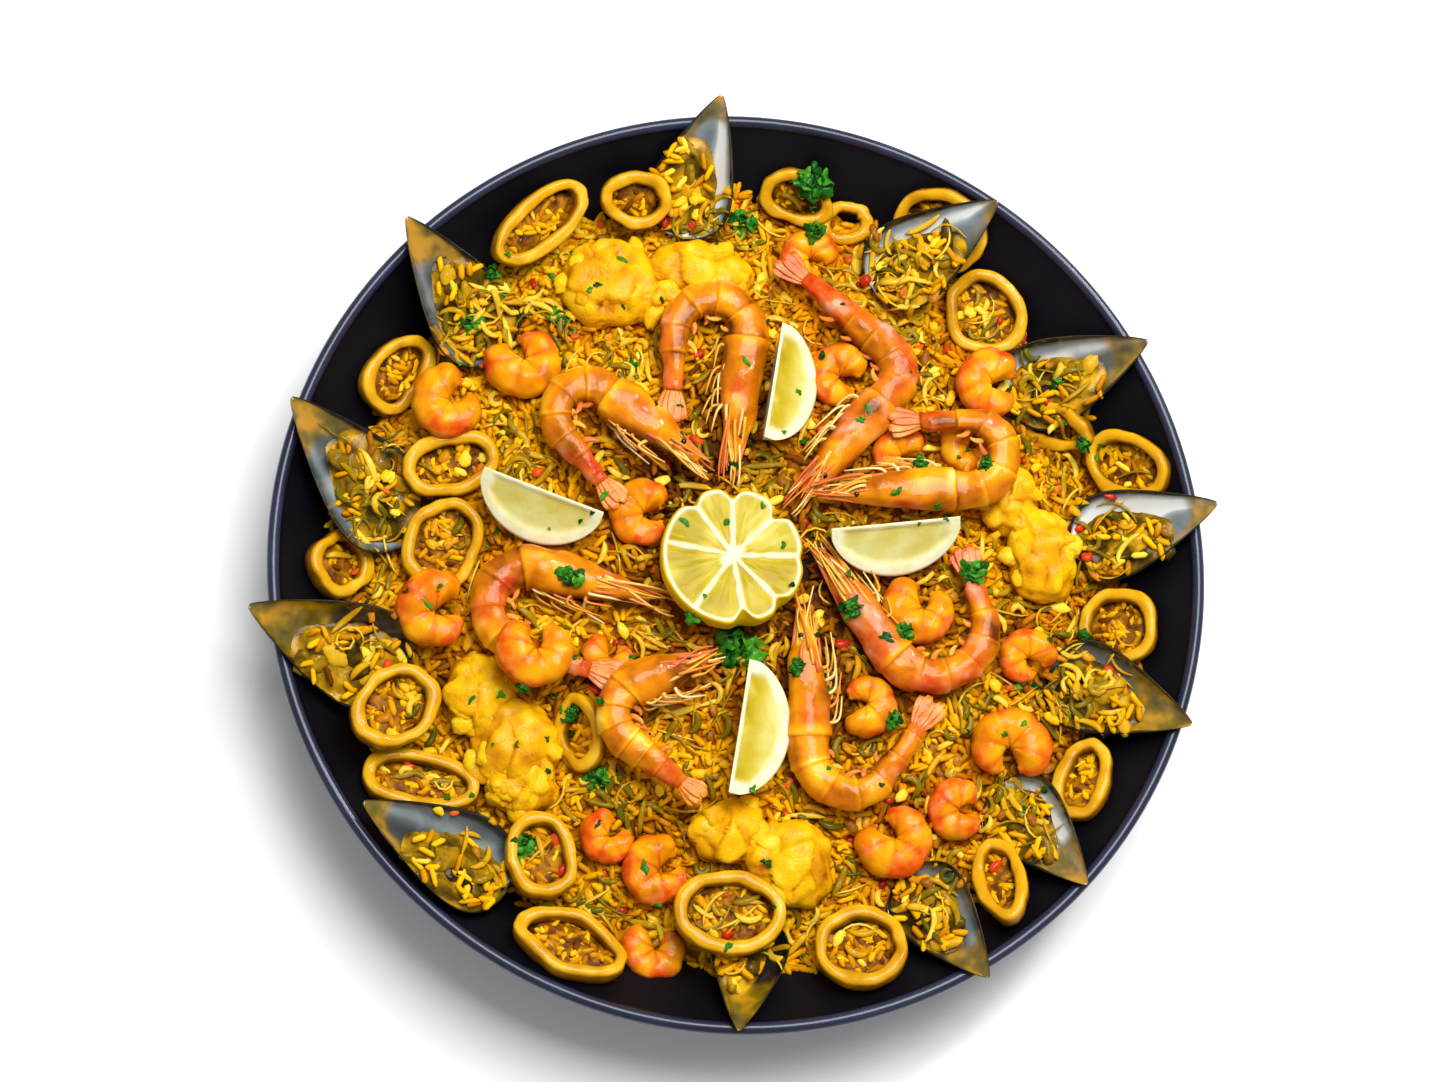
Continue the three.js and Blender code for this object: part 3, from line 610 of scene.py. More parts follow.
def surface_of(objects):
    """A tree of the objects' faces that rays can be cast on."""
    points, faces = [], []
    first = 0
    for piece in objects:
        mesh = piece.data
        mesh.calc_loop_triangles()
        corners = np.empty(3 * len(mesh.vertices), np.float32)
        mesh.vertices.foreach_get("co", corners)
        triangles = np.empty(3 * len(mesh.loop_triangles), np.int32)
        mesh.loop_triangles.foreach_get("vertices", triangles)
        points.append(corners.reshape(-1, 3))
        faces.append(triangles.reshape(-1, 3) + first)
        first += len(mesh.vertices)
    points, faces = np.concatenate(points).tolist(), np.concatenate(faces).tolist()
    return BVHTree.FromPolygons(points, faces, all_triangles=True)


def tops(tree, x, y):
    """Heights and normals of the first face under each place in plan; no face gives -1."""
    heights = np.full(len(x), -1.0)
    normals = np.tile((0.0, 0.0, 1.0), (len(x), 1))
    for k, (a, b) in enumerate(zip(x, y)):
        hit, normal, _, _ = tree.ray_cast((a * MM, b * MM, RAY_START), (0, 0, -1))
        if hit is not None:
            heights[k] = hit.z / MM
            normals[k] = normal
    return heights, normals


# ---------------------------------------------------------------- materials
# tone is where a point's colour lies along the stops; zone is how much of the veil, what
# lies over that colour, shows there.

# The film of stock and oil on everything cooked in the pan: refracts like water, glossy.
WET = {
    "IOR": 1.38,
    "Specular_IOR_Level": 0.05,
    "Coat_IOR": 1.33,
    "Coat_Weight": 0.42,
    "Coat_Roughness": 0.08,
}
OILY = {**WET, "Coat_Weight": 0.6}  # a thicker film, that glints more


def per(size):
    """The scale of a pattern whose spots are that many millimetres across."""
    return 1 / (size * MM)


def plug(node, inputs):
    """The node, its inputs set to values, or linked to a socket or a node's first output."""
    for name, value in inputs.items():
        if isinstance(value, bpy.types.Node):
            value = value.outputs[0]
        if isinstance(value, bpy.types.NodeSocket):
            node.id_data.links.new(value, node.inputs[name])
        else:
            node.inputs[name].default_value = value
    return node


def add(material, kind, inputs, stops=None, **settings):
    """A new node with its settings, its ramp's stops, and its inputs set or linked."""
    node = material.node_tree.nodes.new("ShaderNode" + kind)
    for name, value in settings.items():
        setattr(node, name, value)
    if stops:
        marks = node.color_ramp.elements
        marks.remove(marks[1])
        for number, (place, colour) in enumerate(stops.items()):
            mark = marks.new(place) if number else marks[0]
            mark.position = place
            mark.color = shade(colour) if isinstance(colour, str) else colour
    return plug(node, inputs)


def finish(name, stops, spots, swing, relief=None, glow=None, veil=None, lumps=False, **values):
    """A material whose colour runs along stops, in spots that swing it from its tone.

    spots is their size in millimetres. relief is the width and height of its grain or, with
    lumps, of packed lumps. glow is how many millimetres red, green and blue light run
    inside. veil is the stops of what lies over the colour where zone is high.
    """
    made = bpy.data.materials.new(name)
    made.use_nodes = True
    shader = made.node_tree.nodes["Principled BSDF"]
    for label, value in values.items():
        shader.inputs[label.replace("_", " ")].default_value = value
    if glow:
        shader.inputs["Subsurface Radius"].default_value = [size * MM for size in glow]
        shader.inputs["Subsurface Scale"].default_value = 1.0
    place = add(made, "TexCoord", {}).outputs["Object"]
    tone = add(made, "Attribute", {}, attribute_name="tone").outputs["Fac"]
    blotches = {"Vector": place, "Scale": per(spots), "Detail": 4.0, "Distortion": 0.6}
    cloud = add(made, "TexNoise", blotches)
    centred = add(made, "Math", {0: cloud, 1: 0.5}, operation="SUBTRACT")
    swung = add(made, "Math", {0: centred, 1: swing, 2: tone}, operation="MULTIPLY_ADD")
    colour = add(made, "ValToRGB", {"Fac": swung}, stops)
    if veil:
        zone = add(made, "Attribute", {}, attribute_name="zone").outputs["Fac"]
        patches = add(made, "TexNoise", {"Vector": place, "Scale": per(spots * 0.7), "Detail": 2.0})
        over = add(made, "ValToRGB", {"Fac": patches}, veil)
        both = add(made, "Mix", {0: zone, 6: colour, 7: over}, data_type="RGBA")
        colour = both.outputs[2]
    plug(shader, {"Base Color": colour})
    if relief:
        width, height = relief
        pattern = {"Vector": place, "Scale": per(width)}
        if lumps:
            fine = add(made, "TexVoronoi", pattern, feature="SMOOTH_F1")
        else:
            fine = add(made, "TexNoise", {**pattern, "Detail": 3.0})
        rise = {"Height": fine, "Strength": 0.5, "Distance": height * MM}
        bump = add(made, "Bump", rise, invert=lumps)
        plug(shader, {"Normal": bump, "Coat Normal": bump})
    return made


def nonstick_coating():
    """Aluminium sprayed and baked with a non-stick coating: near black, satin, with its fine
    speckle drawn at 1.5 mm so that it shows."""
    return finish(
        "nonstick_coating", {0.3: "040406", 0.8: "0f0f16"}, spots=45, swing=0.8,
        relief=(1.5, 0.1), Roughness=0.38, Specular_IOR_Level=0.16,
    )


def navy_lacquer(settings):
    """Baked lacquer on the rim and the outside: navy, smooth, clear gloss."""
    return finish(
        "navy_lacquer", {0.3: "1d2034", 0.7: tuple(settings.rim_colour)}, spots=35, swing=0.8,
        Roughness=0.3, Specular_IOR_Level=0.2, Coat_Weight=0.3, Coat_Roughness=0.12,
    )


def boiled_rice(settings):
    """Rice boiled in saffron stock: each grain has its own yellow, moist and a little clear."""
    yellow = tuple(settings.rice_colour)
    return finish(
        "boiled_rice", {0.0: "643402", 0.22: "ae6c03", 0.5: yellow, 0.78: "f6be08", 1.0: "fada48"},
        spots=5, swing=0.12, glow=(2.2, 1.2, 0.4), veil={0.35: "c25a04", 0.65: "e88a06"},
        Roughness=0.5, IOR=1.38, Specular_IOR_Level=0.07, Subsurface_Weight=0.1,
    )


def saffron_stock():
    """Stock boiled down in the rings, over soft grains: red-brown to amber, wet."""
    return finish(
        "saffron_stock", {0.3: "351803", 0.5: "7c4803", 0.7: "b07606"}, spots=5, swing=1.2,
        relief=(3.0, 1.0), lumps=True, Roughness=0.5, Specular_IOR_Level=0.07,
    )


def packed_rice():
    """Rice boiled soft and packed in its stock: amber, in lumps a grain wide."""
    return finish(
        "packed_rice", {0.05: "2c1402", 0.3: "824703", 0.55: "c07a04", 0.85: "e8a806"},
        spots=6, swing=0.7, relief=(3.2, 1.8), lumps=True,
        Roughness=0.55, Specular_IOR_Level=0.06,
    )


def stewed_fish():
    """White fish stewed in saffron stock: bright yellow flakes, moist, with fibres drawn at
    1.6 mm so that they show."""
    return finish(
        "stewed_fish", {0.1: "8f5203", 0.35: "d28c04", 0.55: "e6a806", 0.75: "f0bc0e", 0.95: "f6d23a"},
        spots=9, swing=0.6, relief=(1.6, 0.9), glow=(3, 2, 0.8),
        Roughness=0.42, Subsurface_Weight=0.15, **WET,
    )


def stewed_squid():
    """Squid stewed in saffron stock: smooth ochre bands, oily, their top edges paler as painted
    highlight.
    """
    return finish(
        "stewed_squid", {0.1: "452a02", 0.35: "8a5803", 0.55: "b87f04", 0.75: "d89e0c", 0.95: "ecc440"},
        spots=13, swing=0.5, relief=(4.0, 0.6), glow=(3, 1.8, 0.6),
        Roughness=0.32, Subsurface_Weight=0.1, **OILY,
    )


def boiled_shrimp():
    """Peeled boiled shrimp: yellow from the stock, coral along the back, moist."""
    return finish(
        "boiled_shrimp", {0.1: "8a4602", 0.35: "d87e04", 0.6: "eba009", 0.9: "f6c232"},
        spots=8, swing=0.6, relief=(3.0, 0.6), glow=(4, 2, 0.8),
        veil={0.35: "cc2e06", 0.5: "e04e0c", 0.65: "e6743a"},
        Roughness=0.36, Subsurface_Weight=0.15, **WET,
    )


def boiled_prawn_shell():
    """Boiled prawn shell: thin and half clear, orange with pink and silvery patches, glossy."""
    stops = {
        0.02: "5c2c02", 0.24: "ad5c03", 0.45: "d67c05", 0.64: "e89a0a", 0.82: "f2bc1e", 1.0: "f6dc84",
    }
    return finish(
        "boiled_prawn_shell", stops, spots=12, swing=0.9, relief=(4.0, 0.8), glow=(4, 2, 1),
        veil={0.32: "b42808", 0.46: "d04614", 0.58: "dc6a34", 0.72: "dc9c88"},
        Roughness=0.3, Subsurface_Weight=0.12, **OILY,
    )


def prawn_feelers():
    """Legs and feelers: thin shell, pale cream to coral, half clear."""
    return finish(
        "prawn_feelers", {0.0: "f4dc96", 0.3: "eeb43e", 0.6: "e2822a", 1.0: "d45c40"},
        spots=6, swing=0.3, glow=(2, 1.2, 0.6), Roughness=0.3, Subsurface_Weight=0.15, **WET,
    )


def prawn_eye():
    """A boiled prawn's eye: a black bead with a brown bloom."""
    return finish("prawn_eye", {0.3: "0b0808", 0.7: "2a1810"}, spots=1, swing=1.0, Roughness=0.2)


def dark_mussel_shell():
    """The outside of a mussel shell: near black to olive brown in growth lines, wet gloss."""
    stops = {0.1: "0c0b07", 0.5: "221c0c", 0.9: "584818"}
    return finish("dark_mussel_shell", stops, spots=6, swing=0.6, Roughness=0.3, **WET)


def mother_of_pearl():
    """The inside of a mussel shell: blue-grey to white pearl, veiled olive by the stock."""
    return finish(
        "mother_of_pearl", {0.0: "0c0c0a", 0.14: "262b2a", 0.36: "566062", 0.6: "97a2a4", 0.8: "e0e4e0"},
        spots=16, swing=0.35, veil={0.3: "403804", 0.48: "786206", 0.62: "bc880a"},
        Roughness=0.22, Coat_Weight=0.5, Coat_Roughness=0.06,
    )


def mussel_meat():
    """Cooked mussel: soft ochre to orange with darker frills, very moist."""
    return finish(
        "mussel_meat", {0.1: "221602", 0.35: "5e4603", 0.6: "a37a06", 0.85: "d6a41a"},
        spots=5, swing=0.7, relief=(4.0, 0.7), glow=(3, 1.5, 0.6),
        Roughness=0.32, Subsurface_Weight=0.1, **WET,
    )


def lemon_rind():
    """Waxed lemon rind: clear yellow with fine pores, drawn at 1.5 mm so that they show."""
    return finish(
        "lemon_rind", {0.3: "cfa508", 0.5: "e2c010", 0.7: "ecd42c"}, spots=20, swing=0.8,
        relief=(1.5, 0.3), glow=(3, 2.5, 0.8),
        Roughness=0.4, Specular_IOR_Level=0.15, Subsurface_Weight=0.1,
    )


def cut_lemon():
    """A lemon's cut face: clear yellow flesh, veiled by cream membranes and pith, wet."""
    return finish(
        "cut_lemon", {0.05: "a8900c", 0.3: "bea726", 0.55: "ccbb52", 0.9: "dcd990"},
        spots=9, swing=0.5, relief=(2.0, 0.25), glow=(4, 3.5, 1.5),
        veil={0.3: "e0dba0", 0.7: "f0edcc"}, Roughness=0.34, IOR=1.38,
        Specular_IOR_Level=0.05, Subsurface_Weight=0.15, Coat_Weight=0.12,
    )


def fresh_parsley(settings):
    """Chopped parsley: dark green, paler towards some lobe tips, wet enough to glint."""
    stops = {0.0: "041e04", 0.35: tuple(settings.parsley_colour), 0.7: "4c9420", 1.0: "9cc83c"}
    return finish(
        "fresh_parsley", stops, spots=3, swing=0.35, glow=(0.6, 1.5, 0.4),
        Roughness=0.34, Subsurface_Weight=0.1, **WET,
    )


def stewed_pepper():
    """Diced red pepper, softened in oil: clear red to orange."""
    return finish(
        "stewed_pepper", {0.0: "a31c08", 0.5: "c9380c", 1.0: "dc6614"}, spots=3, swing=0.3,
        glow=(3, 0.8, 0.4), Roughness=0.3, Subsurface_Weight=0.15, **WET,
    )


def stewed_onion():
    """Onion and green pepper stewed in the stock: soft strips, olive to gold, half clear."""
    return finish(
        "stewed_onion", {0.0: "5c5403", 0.35: "98780a", 0.65: "d29a08", 1.0: "ecc83c"},
        spots=5, swing=0.3, glow=(3, 2.5, 1), Roughness=0.28, Subsurface_Weight=0.15, **WET,
    )


def white_board(settings):
    """Matt white board under the pan."""
    stops = {0.3: tuple(settings.board_colour), 0.7: "ffffff"}
    return finish("white_board", stops, spots=300, swing=1.0, Roughness=0.9)


# ---------------------------------------------------------------- the pan


def pan_wall(height):
    """Radius of the inside of the wall at a height."""
    return FLOOR_RADIUS + (height - PAN_THICKNESS) * WALL_RUN


def pan_form(steps):
    """The turned profile: flat base, flared wall, rolled rim. Finish 0 is inside, 1 outside."""
    across = PAN_THICKNESS * math.hypot(1, WALL_RUN)
    bead = PAN_RADIUS - RIM_BEAD
    bends = ((8, 0), (3.4, 0.5), (1, 2), (0.2, 4))
    corner = [(pan_wall(PAN_THICKNESS + rise) - back, PAN_THICKNESS + rise) for back, rise in bends]
    inside = [(4, PAN_THICKNESS), (60, PAN_THICKNESS), (118, PAN_THICKNESS)] + corner
    inside += [(pan_wall(z), z) for z in np.linspace(10, WALL_TOP - 1.2, 14)]
    turn = np.radians(np.linspace(170, -80, 22))
    rim = [(bead + RIM_BEAD * math.cos(a), WALL_TOP + RIM_BEAD * math.sin(a)) for a in turn]
    outside = [(pan_wall(z) + across, z) for z in np.linspace(WALL_TOP - 3.5, 2.2, 12)]
    base = pan_wall(0) + across
    outside += [(base + 0.4, 1.0), (base - 1.2, 0.15), (base - 2.6, 0.0), (60, 0.0), (4, 0.0)]
    profile = np.array(inside + rim + outside)
    finish = (np.arange(len(profile)) >= len(inside)).astype(int)
    finish[-1] = 0
    return loft(polar(profile[:, 0], circle(steps)[:, None], profile[:, 1]), ring=True, finish=finish)


class PAELLA_OT_pan(bpy.types.Operator):
    """Makes the wide flared pan with its rolled rim"""

    bl_idname = "paella.pan"
    bl_label = "Pan"

    def execute(self, context):
        finishes = [nonstick_coating(), navy_lacquer(context.scene.paella)]
        make("paella_pan", [pan_form(180)], finishes, "pan_enamel", "pan")
        return {"FINISHED"}


# ---------------------------------------------------------------- the rice


def in_middle(x, y):
    """1 in the middle of the dish, and falling to 0 away from it."""
    return np.exp(-((np.hypot(x, y) / SAUCE_AND_SHADE_RADIUS) ** 4))


def rice_hue(points):
    """Tone of the rice at the points: in clouds, darker round the middle for sauce and painted shade."""
    x, y = points[..., 0], points[..., 1]
    cloud = 0.24 * noise(points, 26.0, 5) + 0.16 * noise(points, 9.0, 6)
    # The middle is darker for its sauce and as painted shade among the crowded pieces there.
    return 0.53 + cloud - 0.32 * in_middle(x, y) - 0.0006 * x + 0.0004 * y


def rice_bed(tree):
    """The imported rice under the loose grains: the node's top, 1 mm lower and lumpy."""
    radii = np.concatenate([np.linspace(2, 160, 56), np.linspace(161, HEAP_RADIUS - 0.6, 6)])
    angle = circle(250)
    top = polar(radii[:, None], angle)
    x, y = top[..., 0], top[..., 1]
    height = tops(tree, x.ravel(), y.ravel())[0].reshape(x.shape)
    top[..., 2] = np.where(height < 0, heap_height(x, y) - 1, height)
    top[..., 2] += 0.9 * noise(top, 4.0, 3) + 0.7 * noise(top, 2.2, 4) - 1.3
    hue = rice_hue(top)
    base = PAN_THICKNESS + 0.4
    sides = [(pan_wall(z) - 1.0, z) for z in (24.0, 12.0, base)]
    skirt = [polar(radius, angle, z) for radius, z in (*sides, (40, base))]
    tone = np.concatenate([hue, np.tile(hue[-1:], (len(skirt), 1))])
    return loft(np.concatenate([top, skirt]), tone=np.clip(tone, 0, 1))


def grain_forms(places, normals, tones, settings, draw, zones=0.0):
    """Grains lying at the places, each along a direction of its own on the surface there."""
    count = len(places)
    flat = polar(1, draw.uniform(0, 2 * np.pi, count))
    tilt = np.radians(draw.normal(0, 20, count))
    normals = unit(normals + np.array([0, 0, 0.5]))
    along = unit(flat - normals * (flat * normals).sum(-1, keepdims=True))
    along = along * np.cos(tilt)[:, None] + normals * np.sin(tilt)[:, None]
    side = unit(np.cross(normals, along))
    up = np.cross(along, side)
    stations = np.array([-0.5, -0.31, 0.31, 0.5])
    bulge = np.array([0.36, 1.0, 1.0, 0.4])
    turn = circle(5)
    size = settings.grain_length / MM * draw.uniform(0.72, 1.1, count)
    thick = settings.grain_width / MM / 2 * draw.uniform(0.82, 1.12, count)
    bow = draw.uniform(-0.9, 0.9, count)
    centre = places[:, None] + along[:, None] * (size[:, None] * stations)[..., None]
    centre = centre + side[:, None] * (bow[:, None] * (4 * stations**2 - 0.4))[..., None]
    ring = side[:, None] * np.cos(turn)[None, :, None] + up[:, None] * np.sin(turn)[None, :, None]
    points = centre[:, :, None] + ring[:, None] * (thick[:, None] * bulge)[:, :, None, None]
    total = stations.size * turn.size + 2
    shifts = total * np.arange(count)[:, None, None]
    blocks = []
    for faces, _ in loft(points[0]).blocks:
        blocks.append(((faces[None] + shifts).reshape(-1, faces.shape[1]), 0))
    ends = [points[:, :1].mean(2), points[:, -1:].mean(2)]
    points = np.concatenate([points.reshape(count, -1, 3), *ends], 1)
    zones = np.broadcast_to(zones, count)
    return Form(points, blocks, np.repeat(np.clip(tones, 0, 1), total), np.repeat(zones, total))


def kept_in(form):
    """The form, moved in where it would come through the pan's wall."""
    x, y, z = form.points.T
    share = np.minimum(1, (pan_wall(z) + INTO_WALL) / np.maximum(np.hypot(x, y), 1))
    form.points[:, :2] *= share[:, None]
    return form


def strewn(pitch, draw):
    """Places in plan, one in each square of a grid, out to an uneven edge round the heap."""
    span = np.arange(-HEAP_RADIUS - 15, HEAP_RADIUS + 15, pitch)
    grids = [grid.ravel() for grid in np.meshgrid(span, span)]
    x, y = [grid + draw.uniform(-0.5, 0.5, grid.size) * pitch for grid in grids]
    away = np.hypot(x, y)
    way = points_at(x, y) / away[:, None]
    inside = away < HEAP_RADIUS + HEAP_FRINGE * (0.35 + noise(way * HEAP_RADIUS, 20.0, 2))
    return x[inside], y[inside]


def open_places(pitch, bed, over, draw):
    """Places on the bed that nothing lies close over, fewer in the middle, and the normals there."""
    x, y = strewn(pitch, draw)
    height, normals = tops(bed, x, y)
    free = draw.uniform(0, 1, x.size) > SPARE_MIDDLE * in_middle(x, y)
    for k in np.flatnonzero(free):
        start = (x[k] * MM, y[k] * MM, (height[k] - 1.0) * MM)
        hit, face, _, gap = over.ray_cast(start, (0, 0, 1))
        free[k] = hit is None or (gap > GRAIN_ROOM * MM and face.z < 0)
    return points_at(x, y, height)[free], normals[free]


class PAELLA_OT_rice_bed(bpy.types.Operator):
    """Makes the bed of packed rice that everything lies in"""

    bl_idname = "paella.rice_bed"
    bl_label = "Rice bed"

    def execute(self, context):
        tree = surface_of([frame["nodes"]["rice"]])
        make("rice_bed", [rice_bed(tree)], [packed_rice()], "saffron_rice", "rice")
        return {"FINISHED"}


class PAELLA_OT_grains(bpy.types.Operator):
    """Strews the loose grains over the bed and a little way up the wall"""

    bl_idname = "paella.grains"
    bl_label = "Grains of rice"

    def execute(self, context):
        settings = context.scene.paella
        draw = np.random.default_rng(7)
        finishes = [shared(boiled_rice, settings)]
        bed = surface_of(named("rice_bed", "paella_pan"))
        over = surface_of(named(*FOOD))
        number = 0
        for lift, wider in GRAIN_LAYERS:
            places, normals = open_places(settings.grain_pitch / MM * wider, bed, over, draw)
            count = len(places)
            places[:, 2] = places[:, 2] + lift + draw.uniform(-0.5, 1.0, count)
            # Lower layers are painted a little darker, and grains close to a piece darker still: painted
            # shade.
            hue = rice_hue(places) + draw.normal(0.03 * lift - 0.03, 0.13, count)
            apart = np.array([over.find_nearest(place * MM)[3] for place in places]) / MM
            hue -= 0.3 * np.exp(-((apart / PAINTED_SHADE_REACH) ** 2))
            zone = 0.4 * step(noise(places, 34.0, 9) + 0.3 * noise(places, 9.0, 10), 0.0, 0.8)
            for part in np.array_split(np.arange(count), 1 + count // MOST_GRAINS):
                number += 1
                grains = grain_forms(places[part], normals[part], hue[part], settings, draw, zone[part])
                make(f"rice_grains_{number}", [kept_in(grains)], finishes, "saffron_rice")
        return {"FINISHED"}


# ---------------------------------------------------------------- the fish


def flaked(sizes, seed):
    """A lump of fish broken into flakes 9 to 13 mm across, with creases between them."""
    draw = np.random.default_rng(seed)
    sizes = np.asarray(sizes, float)
    ball = ball_points(34, 64)
    ball[..., 2] = flatter(ball[..., 2], 0.75)
    points = ball * sizes
    centres = unit(draw.normal(size=(FLAKES, 3))) * sizes
    near = np.linalg.norm((points[:, :, None] - centres) * (1.0, 0.7, 1.0), axis=-1)
    cell = near.argmin(-1)
    two = np.partition(near, 1, axis=-1)
    border = two[..., 1] - two[..., 0] + 0.8 * noise(points, 4.0, seed + 2)
    crease = np.exp(-(border**2))
    level = draw.uniform(-1, 1, FLAKES)[cell]
    tilt = ((points - centres[cell]) * draw.normal(0, 0.1, (FLAKES, 3))[cell]).sum(-1)
    fibres = noise(points, 4.5, seed)
    depth = 0.8 + 1.1 * level + 0.6 * crease - tilt + 0.9 * fibres + 1.1 * noise(points, 8.0, seed + 4)
    points = points * 1.04 - ball * depth[..., None]
    points[..., :2] *= 1 + 0.1 * noise(ball, 0.7, seed + 9)[..., None]
    points[..., 2] = np.where(points[..., 2] < 0, points[..., 2] * FISH_SOLE, points[..., 2])
    # Sunken flakes, the creases and the grooves between fibres are painted darker: painted shade.
    tone = 0.56 - 0.12 * level - 0.16 * crease + 0.14 * noise(points, 7.0, seed + 1)
    tone = tone - 0.16 * noise(points, 4.5, seed)
    return loft(points, tone=np.clip(tone, 0, 1))


def fish_forms(piece, seed):
    """The fish's lumps with small flakes broken off round them."""
    draw = np.random.default_rng(seed)
    forms = []
    for number, (x, y, *sizes) in enumerate(piece["lumps"]):
        forms.append(flaked(sizes, seed * 31 + number).moved((x, y, 0)))
        for _ in range(FISH_BITS):
            angle = draw.uniform(0, 2 * math.pi)
            away = draw.uniform(0.5, 0.95)
            small = draw.uniform(2.8, 5.5, 3) * (1.3, 1, 0.7)
            turn = spin(draw)
            height = sizes[2] * math.sqrt(1 - away**2) * 0.85 - 1
            spot = (x + sizes[0] * away * math.cos(angle), y + sizes[1] * away * math.sin(angle), height)
            tone = draw.uniform(0.45, 0.8)
            bit = blob(small, seed * 77 + len(forms), (9, 13), 0.3, 3.0, tone=tone)
            forms.append(bit.moved(spot, turn))
    return forms


class PAELLA_OT_fish(bpy.types.Operator):
    """Makes the four pieces of stewed fish"""

    bl_idname = "paella.fish"
    bl_label = "Fish"

    def execute(self, context):
        finishes = [stewed_fish()]
        for number, piece, node in numbered("fish", FISH):
            tall = [sizes[2] for _, _, *sizes in piece["lumps"]]
            low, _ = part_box(node)
            height = low.z / MM + FISH_SOLE * max(tall)
            forms = [form.moved((*piece["at"], height)) for form in fish_forms(piece, number)]
            make(f"stewed_{node}", forms, finishes, "fish_flesh", node)
        return {"FINISHED"}


# ---------------------------------------------------------------- the squid


def squid_ring(piece, seed):
    """A band of squid bent to an oval, uneven in height and thickness, with rounded lips."""
    turn = circle(16)
    out = polar(1, circle(60)[:, None])
    line = out * ((piece["length"] - SQUID_WALL) / 2, (piece["width"] - SQUID_WALL) / 2, 0)
    away = 1.5 * noise(out * 12, 9.0, seed) + 0.5 * noise(out * 12, 4.0, seed + 2)
    line = line + out * (away[..., None] - 0.4)
    wall = SQUID_WALL / 2 * (1.08 + 0.24 * noise(out * 12, 7.0, seed + 4))
    tall = SQUID_HEIGHT / 2 * (0.97 + 0.2 * noise(out * 12, 8.0, seed + 6))
    across, up = flatter(np.cos(turn), 0.6), flatter(np.sin(turn), 0.6)
    points = line + out * (wall * across * (1 - 0.08 * (1 - up**2)))[..., None]
    points[..., 2] += tall * up
    points = points + 0.3 * noise(points, 3.5, seed + 9)[..., None] * out
    # The top edge is painted paler as a highlight; the bottom and the inner wall darker as shade.
    lip = step(up, 0.5, 0.95)
    tone = 0.42 + 0.3 * lip - 0.2 * step(-up, -0.2, 0.6) + 0.06 * across
    tone = tone + 0.14 * noise(points, 7.0, seed + 8)
    return loft(points, ring=True, tone=np.clip(tone, 0, 1))


def ring_filling(piece, settings, draw):
    """Stock and grains of rice inside a ring, in the ring's own frame."""
    half = np.array([piece["length"], piece["width"]]) / 2 - SQUID_WALL
    pool = blob((*(half + 1.0), 2.2), draw.uniform(0, 99), (8, 20), 0.1, finish=1)
    count = int(half.prod() * 0.44)
    angle, share = draw.uniform(0, 2 * np.pi, count), np.sqrt(draw.uniform(0, 0.85, count))
    x, y = half[0] * share * np.cos(angle), half[1] * share * np.sin(angle)
    places = points_at(x, y, 1.2 - 1.5 * share + draw.uniform(-1, 1.2, count))
    tones = draw.normal(0.42, 0.2, count)
    grains = grain_forms(places, np.tile((0.0, 0.0, 1.0), (count, 1)), tones, settings, draw)
    return [form.moved((0, 0, RING_FILLING)) for form in (pool, grains)]


class PAELLA_OT_squid(bpy.types.Operator):
    """Makes the squid rings, and the rice inside them"""

    bl_idname = "paella.squid"
    bl_label = "Squid rings"

    def execute(self, context):
        settings = context.scene.paella
        draw = np.random.default_rng(5)
        finishes = [stewed_squid()]
        filling, sunk = [], []
        for number, piece, node in numbered("squid_ring", SQUID_RINGS):
            forms = [squid_ring(piece, number), *ring_filling(piece, settings, draw)]
            ring, *inside = laid(forms, piece, node)
            make(f"stewed_{node}", [ring], finishes, "squid", node)
            filling += inside
        for number, piece in enumerate(SUNK_RINGS, 40):
            height = heap_height(*piece["at"]) + SUNK_RING_LIFT
            sunk += laid([squid_ring(piece, number)], piece, height=height)
        make("squid_rings_in_rice", sunk, finishes, "squid")
        rice = [shared(boiled_rice, settings), shared(saffron_stock)]
        make("rice_in_rings", [kept_in(form) for form in filling], rice, "saffron_rice")
        return {"FINISHED"}


# ---------------------------------------------------------------- the shrimps


def shrimp(piece, seed):
    """A peeled shrimp curled tight on its side: lobes with creases that run to the middle."""
    size = piece["size"]
    share = np.linspace(0, 1, 56)[:, None]
    turn = circle(20)
    out = polar(1, np.radians(SHRIMP_CURL) * share)
    body, curl = SHRIMP_BODY * size, SHRIMP_RADIUS * size * (1 - 0.08 * share)
    full = body * np.minimum(1, 0.7 + 3 * share) * (1 - 0.4 * share**1.8)
    ends = np.sqrt(np.clip(1 - (2.08 * share - 1.04) ** 8, 0.05, 1))
    lobe = np.abs(np.sin(np.pi * (5.4 * share + 0.1)))
    crease = (1 - lobe) ** 2
    back = step(np.cos(turn), -0.2, 0.9)
    reach = np.where(np.cos(turn) > 0, full * 1.02, np.minimum(curl * 0.97, full * 1.3))
    reach = reach * (1 - crease * (0.1 + 0.03 * back)) * ends
    rise = full * 0.88 * (1 - 0.07 * crease) * ends
    points = out * (curl + reach * np.cos(turn))[..., None]
    points[..., 2] += rise * flatter(np.sin(turn), 0.75)
    points[..., 2] += size * 0.05 * (0.5 - share)
    points[..., 2] += 0.9 * noise(points, 6.0, seed + 1) + 0.5 * noise(points, 3.0, seed)
    points[..., :2] += 0.5 * noise(points, 6.0, seed + 2)[..., None]
    patch = noise(points, 0.3 * size, seed + 3)
    zone = 0.95 * step(back * 0.8 + patch, 0.4, 1.05) + 0.8 * crease * step(patch, -0.7, 0.2)
    # Creases are painted darker as shade, and the two ends are darker too.
    tone = 0.49 - 0.1 * crease + 0.2 * noise(points, 5.0, seed + 5) - 0.2 * (1 - ends)
    return loft(points, tone=np.clip(tone, 0, 1), zone=np.clip(zone, 0, 1) * 0.85)


